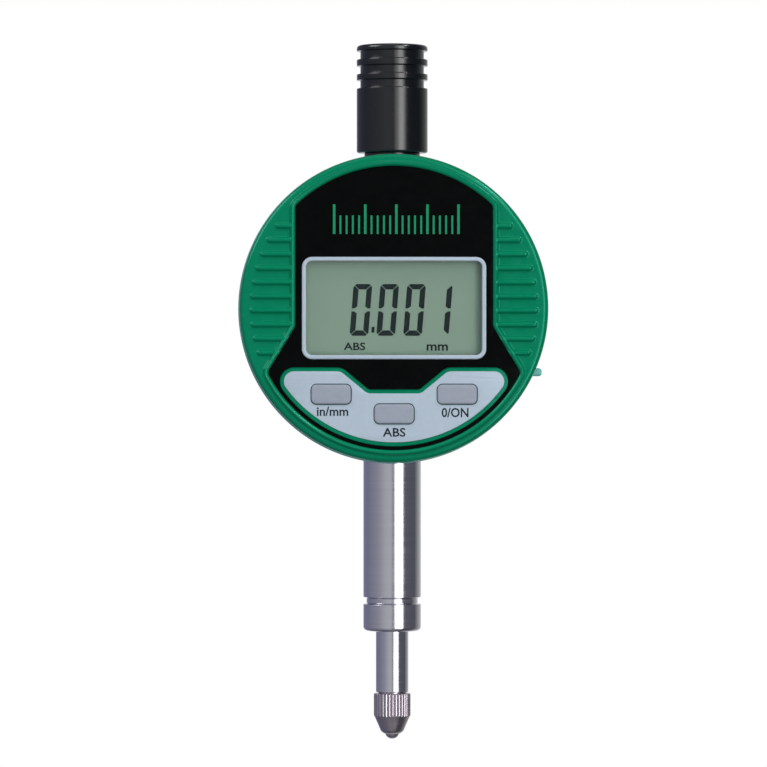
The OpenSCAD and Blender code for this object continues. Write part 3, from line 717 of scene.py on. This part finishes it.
key_cutouts = [(hole, hole_edged(ISLAND_FRONT, KEYPAD_FRONT, 0.05)) for hole in key_holes]
finish_object("fascia", plate_mesh([
    (FASCIA, edged(FLOOR_FRONT, FASCIA_FRONT, 0.08)),
    (TRIM, [(-GLUE, FLOOR_FRONT), (-GLUE, FASCIA_FRONT)]),
    (KEYPAD, [(-ISLAND_RIM - GLUE, FLOOR_FRONT), (-ISLAND_RIM - GLUE, FASCIA_FRONT)]),
]), "display_head", "fascia_black", ["fascia_plate"], FLAT)
trim_hole = rounded_rect(TRIM_HALF[0] - TRIM_LINE, TRIM_HALF[1] - TRIM_LINE, TRIM_CORNER - TRIM_LINE)
finish_object("trim", plate_mesh([
    (TRIM, edged(TRIM_BACK, TRIM_FRONT, 0.14)),
    (trim_hole, hole_edged(TRIM_BACK, TRIM_FRONT, 0.14)),
]), "display_head", "silver_trim", ["window_trim"])
finish_object("lens", plate_mesh([(trim_hole, [
    (GLUE, TRIM_BACK + 0.005), (GLUE, LENS_FRONT - 0.04), (GLUE + 0.04, LENS_FRONT)])]),
    "display_head", "clear_window", ["window_lens"])
GLASS = rounded_rect(12.7, 7.2, 0.15)
finish_object("display_glass", plate_mesh([(
    GLASS, [
        (0.04, SEGMENT_FRONT + 0.005), (0, SEGMENT_FRONT + 0.05),
        (0, TRIM_BACK - 0.05), (0.04, TRIM_BACK - 0.005)])]),
    "display_head", "lcd_glass", ["lcd_front_glass"])
REAR_GLASS_BACK = back_of("lcd_rear_glass")
finish_object("display_reflector", plate_mesh([(
    GLASS, [
        (0.1, REAR_GLASS_BACK), (0, REAR_GLASS_BACK + 0.1),
        (0, SEGMENT_BACK - 0.05), (0.05, SEGMENT_BACK)])]),
    "display_head", "lcd_reflector", ["lcd_rear_glass"])

DIGIT_H, DIGIT_W, SEGMENT_W, DIGIT_PITCH = 7.0, 2.52, 0.72, 3.63
FIRST_X, DIGIT_TOP = -6.0, 3.27
DIGIT_SLOPE = math.tan(math.radians(4.6))


def digit_polygons(left, names):
    """Segment outlines of one digit, from its lower left corner."""
    w, h, s = DIGIT_W, DIGIT_H, SEGMENT_W
    mitre, clip, mid_gap = 0.055, 0.34, 0.2
    top = [(clip + mitre, h), (w - clip - mitre, h), (w - clip * 0.55, h - clip * 0.45),
           (w - s - mitre, h - s), (s + mitre, h - s), (clip * 0.55, h - clip * 0.45)]
    left_high = [(clip * 0.45, h - clip * 0.55 - mitre), (s, h - s - mitre),
                 (s, h / 2 + mid_gap + 0.28), (s * 0.5, h / 2 + mid_gap), (0, h / 2 + mid_gap),
                 (0, h - clip - mitre)]

    def flip_x(shape):
        return [(w - x, y) for x, y in shape]

    def flip_y(shape):
        return [(x, h - y) for x, y in shape]

    shapes = {
        "top": top, "bottom": flip_y(top),
        "left_high": left_high, "left_low": flip_y(left_high),
        "right_high": flip_x(left_high), "right_low": flip_x(flip_y(left_high)),
    }
    base = DIGIT_TOP - DIGIT_H
    return [[(left + x + y * DIGIT_SLOPE, base + y) for x, y in shapes[n]] for n in names]


def prism_mesh(polygons, back, front):
    """Thin flat shapes between two forward distances."""
    points, faces = [], []
    for polygon in polygons:
        low, high = (add_ring(points, [at(x, z, f) for x, z in polygon]) for f in (back, front))
        faces += bridge(low, high) + cap_faces(points, [low]) + cap_faces(points, [high])
    return to_mesh(points, faces)


LETTER_BOLD = 0.018


def lettering(text, centre, size, back, front):
    """Thin lettering that fills a width and height about a centre."""
    curve = bpy.data.curves.new("lettering", "FONT")
    curve.body = text
    curve.resolution_u = 3
    curve.offset = LETTER_BOLD
    holder = new_object("lettering", curve)
    bpy.context.view_layer.update()
    graph = bpy.context.evaluated_depsgraph_get()
    flat = bpy.data.meshes.new_from_object(holder.evaluated_get(graph))
    bpy.data.objects.remove(holder)
    xs = [v.co.x for v in flat.vertices]
    ys = [v.co.y for v in flat.vertices]
    scale_x = size[0] / (max(xs) - min(xs))
    scale_y = size[1] / (max(ys) - min(ys))
    mid = ((max(xs) + min(xs)) / 2, (max(ys) + min(ys)) / 2)
    for v in flat.vertices:
        v.co = at(centre[0] + (v.co.x - mid[0]) * scale_x, centre[1] + (v.co.y - mid[1]) * scale_y,
                  back)
    shape = bmesh.new()
    shape.from_mesh(flat)
    bmesh.ops.remove_doubles(shape, verts=shape.verts, dist=1e-7)
    grown = bmesh.ops.extrude_face_region(shape, geom=shape.faces[:] + shape.edges[:])
    moved = [e for e in grown["geom"] if isinstance(e, bmesh.types.BMVert)]
    bmesh.ops.translate(shape, verts=moved, vec=(0, -(front - back) * MM, 0))
    bmesh.ops.recalc_face_normals(shape, faces=shape.faces)
    flat.materials.clear()
    shape.to_mesh(flat)
    shape.free()
    return flat


ZERO = ["top", "bottom", "left_high", "left_low", "right_high", "right_low"]
digits = []
for index in range(3):
    digits += digit_polygons(FIRST_X + index * DIGIT_PITCH, ZERO)
digits += digit_polygons(FIRST_X + 3 * DIGIT_PITCH, ["right_high", "right_low"])
POINT_X, POINT_Z, POINT_W, POINT_H, POINT_LEAN = -3.05, -3.3, 0.4, 0.78, 0.04
digits.append([(POINT_X, POINT_Z), (POINT_X + POINT_W, POINT_Z),
               (POINT_X + POINT_W + POINT_LEAN, POINT_Z + POINT_H),
               (POINT_X + POINT_LEAN, POINT_Z + POINT_H)])
INK = (SEGMENT_BACK + 0.01, SEGMENT_FRONT - 0.005)
finish_object("display_segments", joined(
    prism_mesh(digits, *INK),
    lettering("ABS", (-5.33, -5.17), (2.92, 1.04), *INK),
    lettering("mm", (5.88, -5.32), (2.88, 0.86), *INK),
), "display_head", "lcd_ink", ["lcd_segments"])

# A row of graduation ticks on the fascia
TICK_CENTRE, TICK_COUNT, TICK_PITCH = (0.3, 12.0), 21, 0.84
TICK_LONG, TICK_SHORT = (4.0, 0.17), (2.5, 0.13)  # height and half width
ticks = []
for index in range(TICK_COUNT):
    x = TICK_CENTRE[0] + (index - (TICK_COUNT - 1) / 2) * TICK_PITCH
    height, half = TICK_LONG if index % 5 == 0 else TICK_SHORT
    low = TICK_CENTRE[1] - TICK_LONG[0] / 2
    ticks.append([(x - half, low), (x + half, low), (x + half, low + height), (x - half, low + height)])
finish_object("tick_row", prism_mesh(ticks, FASCIA_FRONT + 0.002, FASCIA_FRONT + 0.016),
              "display_head", "mark_print")

# ---- Keypad ----

finish_object("keypad", plate_mesh([
    (KEYPAD, edged(ISLAND_FRONT, KEYPAD_FRONT, 0.08))] + key_cutouts),
    "display_head", "silver_trim", ["keypad_plate"], FLAT)
KEY_BACK = back_of("zero_button")
KEY_FACE_BACK = 11.54
FLANGE = (10.95, 11.55)
PLUNGER_FRONT = 10.96
KEY_NODES = {"units_key": "units_button", "abs_key": "abs_button", "zero_key": "zero_button"}
for body, centre in KEYS.items():
    flange = rounded_rect(KEY_HALF[0] + 0.5, KEY_HALF[1] + 0.4, KEY_CORNER, centre)
    face = rounded_rect(KEY_HALF[0], KEY_HALF[1], KEY_CORNER, centre)
    key = joined(
        plate_mesh([(face, edged(KEY_FACE_BACK, KEY_FRONT, 0.22, steps=5))]),
        plate_mesh([(flange, edged(*FLANGE, 0.06, 0.06))]),
        plate_mesh([(round_outline(1.0, 32, centre), [
            (0.15, KEY_BACK), (0, KEY_BACK + 0.15), (0, PLUNGER_FRONT)])]),
    )
    finish_object(KEY_NODES[body].replace("button", "keytop"), key, body, "key_grey",
                  [KEY_NODES[body]])
LABELS = [("units_label", "in/mm", (-8.32, -13.96), (4.24, 1.27)),
          ("abs_label", "ABS", (0.0, -16.8), (3.07, 1.2)),
          ("zero_label", "0/ON", (8.24, -14.13), (3.63, 1.27))]
for name, text, centre, size in LABELS:
    finish_object(name, lettering(text, centre, size, KEYPAD_FRONT + 0.002,
                                  KEYPAD_FRONT + 0.014), "display_head", "key_print")

# ---- Case, back and drawer ----


def ring_about_body(profile, radii, count=240):
    """Closed section of (radius, forward) turned about the body's axis."""
    section = rounded(profile + profile[:2], radii)
    return lathe_mesh(section, about_body, count)


def cylinder_mesh(radius, start, end, count=64):
    """Plain cutting cylinder between two points in metres."""
    axis = (end - start).normalized()
    side = axis.orthogonal().normalized()
    other = axis.cross(side)

    def place(r, a, h):
        return start + (side * math.cos(a) + other * math.sin(a)) * r * MM + axis * h

    length = (end - start).length
    return lathe_mesh([(0, 0), (radius, 0), (radius, length), (0, length)], place, count)


WALL, PLATE_T = 1.6, 1.6
PLATE_FRONT = -PLATE_BACK + PLATE_T
barrel_profile = [(CASE_R - WALL, 0), (CASE_R - WALL, PLATE_FRONT), (CASE_R, PLATE_FRONT),
                  (CASE_R, CASE_FRONT), (CASE_R - WALL, CASE_FRONT)]
barrel = ring_about_body(barrel_profile, {2: 0.12, 3: 0.16})
SLEEVE_R = 3.84
for radius, low, high in ((STEM_R, -24, -16), (SLEEVE_R, 16, 24)):
    ends = [Vector((0, 0, (BODY_Z + z) * MM)) for z in (low, high)]
    barrel = booled(barrel, cylinder_mesh(radius + 0.02, *ends))
opening_z = (DRAWER_LOW.z - BODY_Z - SEAM, DRAWER_HIGH.z - BODY_Z + SEAM)
opening_half = DRAWER_HIGH.y + SEAM
OPENING_SHAPE = rounded_rect(opening_half, (opening_z[1] - opening_z[0]) / 2, 0.5,
                             (0, (opening_z[1] + opening_z[0]) / 2))


def sideways(y, z, x):
    """A point of a shape drawn in (y, z), from the body's centre, at x."""
    return Vector((x, y, BODY_Z + z)) * MM


barrel = booled(barrel, plate_mesh([(OPENING_SHAPE, [(0, 14.0), (0, 24.0)])], sideways))
finish_object("case", barrel, "case", "case_plastic", ["rear_case"])

plate_rim = rounded([(0, PLATE_FRONT - PLATE_T), (CASE_R, PLATE_FRONT - PLATE_T),
                     (CASE_R, PLATE_FRONT), (0, PLATE_FRONT)], {1: 0.45, 2: 0.12}, 6)
back_plate = lathe_mesh(plate_rim, about_body, 240)
LUG_T, LUG_R, LUG_HOLE_R, LUG_EDGE = 5.0, 6.0, 3.25, 0.5
lug_centre = LUG_TIP - LUG_R


def lug_outline():
    """A round end on a straight foot, which is sunk a little into the back plate."""
    start = PLATE_BACK - 0.6
    foot = [(Vector((start, z)), Vector((-1, 0))) for z in (LUG_R, -LUG_R)]
    centre, low, high = (Vector((lug_centre, z)) for z in (0, -LUG_R, LUG_R))
    return foot + arc_points(centre, low, high, False, 0.25)


hole = round_outline(LUG_HOLE_R, 96, (lug_centre, 0))
lug_section = []
for k in range(7):
    turn = math.pi * k / 12
    lug_section.append((LUG_EDGE - LUG_EDGE * math.sin(turn),
                        -LUG_T / 2 + LUG_EDGE * (1 - math.cos(turn))))
lug_section += [(by, -height) for by, height in reversed(lug_section)]
hole_section = [(-by * 0.5, height) for by, height in lug_section]
lug = plate_mesh([(lug_outline(), lug_section), (hole, hole_section)], sideways)
body_back = booled(back_plate, lug, "UNION")
SCREW_RING = 17.2
SEAT_R, SHANK_R = 1.9 + 0.05, 1.0 + 0.02
SEAT_START, SEAT_END, SHANK_END = -PLATE_BACK - 0.5, -PLATE_BACK + 0.9, -PLATE_BACK + 2.5
screw_seat = [(0, SEAT_START), (SEAT_R, SEAT_START), (SEAT_R, -PLATE_BACK), (SHANK_R, SEAT_END),
              (SHANK_R, SHANK_END), (0, SHANK_END)]
for angle in (50, 130, 230, 310):
    turn = math.radians(angle)
    place = about_axis(*(SCREW_RING * Vector((math.cos(turn), math.sin(turn)))))
    body_back = booled(body_back, lathe_mesh(screw_seat, place, 48))
finish_object("lug_plate", body_back, "case", "dark_cast_metal", ["lug_back"])

drawer_mid_z = (DRAWER_LOW.z + DRAWER_HIGH.z) / 2 - BODY_Z
drawer_half = (DRAWER_HIGH.y, (DRAWER_HIGH.z - DRAWER_LOW.z) / 2)
front_shape = rounded_rect(drawer_half[0], drawer_half[1], 0.45, (0, drawer_mid_z))


def on_case(y, z, x):
    """Like sideways, but x = 0 lies on the case's round wall."""
    return sideways(y, z, math.sqrt(max(CASE_R**2 - z * z, 1)) + x)


DRAWER_WALL, DRAWER_EDGE = 2.4, 0.12


def drawer_front():
    """The drawer's outer wall, whose face follows the case's round wall."""
    points, faces = [], []
    columns, rows = 8, 28
    reach_y, reach_z = 0.94, 0.97  # share of the face that the inner points fill
    section = [(0.0, -DRAWER_WALL), (0.0, -DRAWER_EDGE), (0.035, -0.035), (DRAWER_EDGE, 0.0)]
    rings = [add_ring(points, [on_case(p.x, p.y, depth) for p in inset(front_shape, by)])
             for by, depth in section]
    faces += bridged(rings)
    for ring, (by, depth) in ((rings[0], section[0]), (rings[-1], section[-1])):
        spots = inset(front_shape, by)
        inner = []
        for r in range(1, rows):
            for c in range(1, columns):
                y = drawer_half[0] * (2 * c / columns - 1) * reach_y
                z = drawer_mid_z + drawer_half[1] * (2 * r / rows - 1) * reach_z
                inner.append(Vector((y, z)))
        verts = spots + inner
        edges = [(i, (i + 1) % len(spots)) for i in range(len(spots))]
        found = geometry.delaunay_2d_cdt(verts, edges, [], 1, 1e-5)
        mapping = []
        for k, p in enumerate(found[0]):
            origin = found[3][k]
            if origin and origin[0] < len(spots):
                mapping.append(ring[origin[0]])
            else:
                mapping.append(len(points))
                points.append(on_case(p.x, p.y, depth))
        faces += [[mapping[v] for v in f] for f in found[2]]
    return to_mesh(points, faces)


CELL_AT = ((CELL_LOW.x + CELL_HIGH.x) / 2, (CELL_LOW.z + CELL_HIGH.z) / 2 - BODY_Z)
CELL_R = (CELL_HIGH.x - CELL_LOW.x) / 2
TRAY_HALF_Y = 2.75
TRAY_END = 18.35
tray_shape = rounded_rect((TRAY_END - DRAWER_LOW.x) / 2, drawer_half[1], 0.5,
                          ((TRAY_END + DRAWER_LOW.x) / 2, drawer_mid_z))
tray = plate_mesh([
    (tray_shape, edged(-TRAY_HALF_Y, TRAY_HALF_Y, 0.1, 0.1)),
    (round_outline(CELL_R + 0.04, 160, CELL_AT), [
        (-0.1, -TRAY_HALF_Y), (0, -TRAY_HALF_Y + 0.1), (0, TRAY_HALF_Y - 0.1), (-0.1, TRAY_HALF_Y)]),
])
LIP_Z, LIP_H = -8.65, 1.1
LIP_REACH = math.sqrt(CASE_R**2 - LIP_Z**2) + 1.2
LIP_START = 18.6
lip_shape = rounded_rect((LIP_REACH - LIP_START) / 2, LIP_H / 2, 0.42,
                         ((LIP_REACH + LIP_START) / 2, LIP_Z))
lip = plate_mesh([(lip_shape, edged(-2.6, 3.0, 0.3, 0.3, 5))])
finish_object("drawer", joined(drawer_front(), tray, lip), "drawer", "case_plastic",
              ["battery_drawer"])

cell_half = (CELL_HIGH.y - CELL_LOW.y) / 2
cell_profile = rounded([(0, -cell_half), (CELL_R, -cell_half), (CELL_R, cell_half - 0.55),
                        (CELL_R - 0.75, cell_half - 0.5), (CELL_R - 0.75, cell_half),
                        (0, cell_half)], {1: 0.35, 2: 0.15, 4: 0.2})
finish_object("cell", lathe_mesh(cell_profile, about_axis(*CELL_AT), 96), "drawer", "cell_steel",
              ["battery_cell"])

# ---- Stem, spindle, cap and spring ----

STEM_BORE, STEM_TOP = ROD_R + 0.1, 11.5
GROOVE_R, GROOVE_Z = 3.55, (-10.2, -10.0, -9.4, -9.2)
stem_profile = rounded([
    (STEM_BORE, STEM_LOW + 8), (STEM_BORE, STEM_LOW), (STEM_R, STEM_LOW), (STEM_R, GROOVE_Z[0]),
    (GROOVE_R, GROOVE_Z[1]), (GROOVE_R, GROOVE_Z[2]), (STEM_R, GROOVE_Z[3]), (STEM_R, STEM_TOP),
    (3.2, STEM_TOP), (STEM_BORE, STEM_TOP),
    (STEM_BORE, STEM_LOW + 8), (STEM_BORE, STEM_LOW + 7.9)],
    {1: 0.2, 2: 0.6, 3: 0.06, 4: 0.05, 5: 0.05, 6: 0.06}, 6)[:-1]
finish_object("stem_tube", lathe_mesh(stem_profile, about_spindle, 160), "case",
              "ground_steel", ["stem"])
SLEEVE_START, SLEEVE_BORE, NECK_R = 50, ROD_R + 0.15, 3.3
sleeve_profile = rounded([
    (SLEEVE_BORE, SLEEVE_START), (SLEEVE_R, SLEEVE_START), (SLEEVE_R, CAP_LOW), (NECK_R, CAP_LOW),
    (NECK_R, SLEEVE_HIGH), (SLEEVE_BORE, SLEEVE_HIGH), (SLEEVE_BORE, SLEEVE_START),
    (SLEEVE_R, SLEEVE_START)],
    {2: 0.12, 4: 0.25, 5: 0.1})[:-1]
finish_object("sleeve", lathe_mesh(sleeve_profile, about_spindle, 128), "case",
              "cap_black", ["top_sleeve"])
rod_end = ROD_LOW - 0.1
rod_profile = rounded([(0, rod_end), (ROD_R, rod_end), (ROD_R, ROD_HIGH), (0, ROD_HIGH)],
                      {1: 0.15, 2: 0.4})
finish_object("spindle", lathe_mesh(rod_profile, about_spindle, 128), "spindle",
              "ground_steel", ["spindle_rod"])

CAP_GROOVE_R, CAP_BORE_R, CAP_ROOF = 4.4, 3.35, 1.4
CAP_TOP_LOW = 0.18
cap_profile = [(0, CAP_HIGH - CAP_TOP_LOW), (CAP_R, CAP_HIGH - CAP_TOP_LOW)]
cap_radii = {1: 0.45}
for top, height in ((1.0, 1.15), (3.07, 1.1), (5.03, 1.1)):
    for radius, z, fillet in ((CAP_R, top, 0.12), (CAP_GROOVE_R, top, 0.1),
                              (CAP_GROOVE_R, top + height, 0.1), (CAP_R, top + height, 0.12)):
        cap_radii[len(cap_profile)] = fillet
        cap_profile.append((radius, CAP_HIGH - z))
cap_radii[len(cap_profile)] = 0.25
cap_profile.append((CAP_R, CAP_LOW))
cap_radii[len(cap_profile)] = 0.15
cap_profile += [(CAP_BORE_R, CAP_LOW), (CAP_BORE_R, CAP_HIGH - CAP_ROOF), (0, CAP_HIGH - CAP_ROOF)]
finish_object("cap", lathe_mesh(rounded(cap_profile, cap_radii, 4), about_spindle, 128),
              "cap", "cap_black", ["dust_cap"])

RIDGES, REED_DEPTH, REED_SHARPNESS = 30, 0.11, 1.3
CONTACT_R = 2.535
contact_profile = [
    (0.0, -17.0), (1.25, -17.0), (1.25, -22.25), (1.9, -22.25), (1.9, -22.5), (2.4, -22.5),
    (CONTACT_R, -22.6), (CONTACT_R, -25.55), (2.44, -25.7), (2.0, -26.7), (1.62, -27.6),
    (1.52, -27.76), (1.12, -28.08), (0.97, -28.12), (0.0, -28.12)]


def contact_mesh():
    """The reeded contact point: ridges are cut off by its chamfers, which scallops their ends."""
    count = RIDGES * 12
    heights, radii = [], []
    for (r0, z0), (r1, z1) in zip(contact_profile[1:], contact_profile[2:]):
        near = z0 < -22.4 and z1 > -26.5
        steps = max(2, math.ceil(abs(z1 - z0) / 0.2)) if near and z0 != z1 else 1
        if near and (r0 != r1):
            steps = max(steps, 6)
        for k in range(steps):
            heights.append(z0 + (z1 - z0) * k / steps)
            radii.append(r0 + (r1 - r0) * k / steps)
    reeds = []
    for i in range(count):
        angle = 2 * math.pi * i / count
        wave = abs(math.sin(angle * RIDGES / 2))
        reeds.append((angle, CONTACT_R - REED_DEPTH * (1 - wave) ** REED_SHARPNESS))
    points = []
    rings = [add_ring(points, [about_spindle(min(limit, reed), angle, z) for angle, reed in reeds])
             for z, limit in zip(heights, radii)]
    return to_mesh(points, bridged(rings) + [rings[0], rings[-1]])


finish_object("contact", contact_mesh(), "spindle", "hardened_steel", ["contact_point"], 28)
ball_profile = [(BALL_R * math.sin(math.pi * k / 24), BALL_Z - BALL_R * math.cos(math.pi * k / 24))
                for k in range(25)]
ball_profile[0] = (0, BALL_Z - BALL_R)
ball_profile[-1] = (0, BALL_Z + BALL_R)
finish_object("ball", lathe_mesh(ball_profile, about_spindle, 64), "spindle", "ball_steel",
              ["contact_ball"])

SPRING_R, WIRE_R, TURNS = 3.0, 0.25, 8
spring_low, spring_high = (p.z for p in box_mm("return_spring"))


def spring_mesh():
    points, rings = [], []
    steps, sides = TURNS * 32, 10
    low, high = spring_low + WIRE_R, spring_high - WIRE_R
    for i in range(steps + 1):
        turn = 2 * math.pi * TURNS * i / steps
        z = low + (high - low) * i / steps
        corners = [2 * math.pi * k / sides for k in range(sides)]
        rings.append(add_ring(points, [
            about_spindle(SPRING_R + WIRE_R * math.cos(a), turn, z + WIRE_R * math.sin(a))
            for a in corners]))
    return to_mesh(points, bridged(rings) + [rings[0], rings[-1]])


spring = finish_object("spring", spring_mesh(), "case", "spring_steel", ["return_spring"], 50)
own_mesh(spring)

# ---- Studio ----

room_mesh = bpy.data.meshes.new("room")
shape = bmesh.new()
bmesh.ops.create_uvsphere(shape, u_segments=48, v_segments=24, radius=2.0)
bmesh.ops.reverse_faces(shape, faces=shape.faces)
shape.to_mesh(room_mesh)
shape.free()
room = new_object("room", room_mesh)
paper, nodes = new_material("paper")
glow = nodes.add("ShaderNodeEmission", Strength=1.0)
nodes.add("ShaderNodeOutputMaterial", Surface=glow.outputs[0])
room_mesh.materials.append(paper)
for ray in ("diffuse", "glossy", "transmission", "shadow", "volume_scatter"):
    setattr(room, "visible_" + ray, False)

world = bpy.data.worlds.new("studio")
world.use_nodes = True
bpy.context.scene.world = world
nodes = Nodes(world.node_tree)
direction = nodes.add("ShaderNodeTexCoord")
parts = nodes.add("ShaderNodeSeparateXYZ", Vector=direction.outputs["Generated"])
forward = nodes.add("ShaderNodeMath", {"operation": "MULTIPLY"}, _0=parts.outputs["Y"], _1=-1.0)
azimuth = nodes.add("ShaderNodeMath", {"operation": "ARCTAN2"}, _0=parts.outputs["X"],
                    _1=forward.outputs[0])
turn = nodes.add("ShaderNodeMapRange", Value=azimuth.outputs[0], From_Min=-math.pi, From_Max=math.pi)


def ramp(source, stops, low, high):
    node = nodes.add("ShaderNodeValToRGB", Fac=source)
    elements = node.color_ramp.elements
    while len(elements) > 1:
        elements.remove(elements[-1])
    for k, (place, colour) in enumerate(stops):
        share = (place - low) / (high - low)
        element = elements[0] if k == 0 else elements.new(share)
        element.position = share
        element.color = (*colour, 1.0)
    return node


def grey(value, blue=0.0):
    return (value * (1 - blue / 2), value * (1 - blue / 2), value * (1 + blue))


# Brightness round the horizon, by degrees to the right of the camera
AROUND = [
    (-180, grey(1.1, 0.05)), (-168, grey(0.9, 0.05)), (-155, grey(0.26, 0.25)),
    (-115, grey(0.24, 0.25)), (-60, grey(0.34, 0.12)), (-25, grey(0.52, 0.05)),
    (-8, grey(0.54, 0.04)), (0, grey(0.44, 0.04)), (1.6, grey(0.26, 0.04)),
    (4.2, grey(0.26, 0.04)), (7.0, grey(0.5)), (43, grey(0.5)), (47, grey(0.135, 0.12)),
    (100, grey(0.115, 0.15)), (112, grey(0.25)), (150, grey(0.62)), (168, grey(1.0)), (180, grey(1.1)),
]
round_about = ramp(turn.outputs[0], AROUND, -180, 180)
# Brightness by height, in degrees above the horizon: it fades both up and down
height = nodes.add("ShaderNodeMapRange", Value=parts.outputs["Z"], From_Min=-1.0, From_Max=1.0)
UP = [(-90, grey(0.3)), (-60, grey(0.6)), (-35, grey(0.8)), (-12, grey(0.97)), (0, grey(1.0)),
      (25, grey(0.95)), (50, grey(0.6)), (90, grey(0.5))]
up_stops = [(math.sin(math.radians(e)), c) for e, c in UP]
up_down = ramp(height.outputs[0], up_stops, -1, 1)
mixed = nodes.add("ShaderNodeMix", {"data_type": "RGBA", "blend_type": "MULTIPLY"}, _0=1.0,
                  _6=round_about.outputs[0], _7=up_down.outputs[0])
light = nodes.add("ShaderNodeBackground", Color=mixed.outputs[2], Strength=1.0)
nodes.add("ShaderNodeOutputWorld", Surface=light.outputs[0])


def area(name, place, size, power):
    """A rectangular lamp that faces the middle of the body."""
    lamp = bpy.data.lights.new(name, "AREA")
    lamp.shape = "RECTANGLE"
    lamp.size, lamp.size_y = size
    lamp.energy = power
    obj = new_object(name, lamp)
    obj.location = place
    aim = Vector((0, 0, BODY_Z * MM)) - Vector(place)
    obj.rotation_euler = aim.to_track_quat("-Z", "Y").to_euler()
    obj.visible_camera = False


# The key light, to the right of the camera: a broad panel with a brighter core in front of it
KEY_HEIGHT, KEY_TALL = 0.15, 1.5
for name, distance, degrees, width, power in (("key_panel", 1.2, 26, 0.76, 4.6),
                                              ("key_core", 1.18, 29, 0.36, 5.2)):
    angle = math.radians(degrees)
    spot = (distance * math.sin(angle), -distance * math.cos(angle), KEY_HEIGHT)
    area(name, spot, (width, KEY_TALL), power)
area("right_high_panel", (0.75, -0.55, 0.95), (0.25, 0.25), 3.8)
area("top_panel", (-0.1, -0.45, 1.0), (1.0, 0.6), 1.5)
area("left_panel", (-0.85, -0.35, 0.65), (0.6, 0.6), 5.0)

# ---- Camera ----

CAMERA_DISTANCE, CAMERA_Z, CAMERA_TURN = 0.610, 0.0202, math.radians(-1.2)
camera_data = bpy.data.cameras.new("camera")
camera_data.lens = 207.5
camera_data.sensor_width = 36.0
camera_data.shift_x = -0.0113
camera = new_object("camera", camera_data)
camera.location = (CAMERA_DISTANCE * math.sin(CAMERA_TURN), -CAMERA_DISTANCE * math.cos(CAMERA_TURN),
                   CAMERA_Z)
camera.rotation_euler = (math.pi / 2, 0, CAMERA_TURN)
bpy.context.scene.camera = camera
bpy.context.scene.view_settings.view_transform = "Standard"
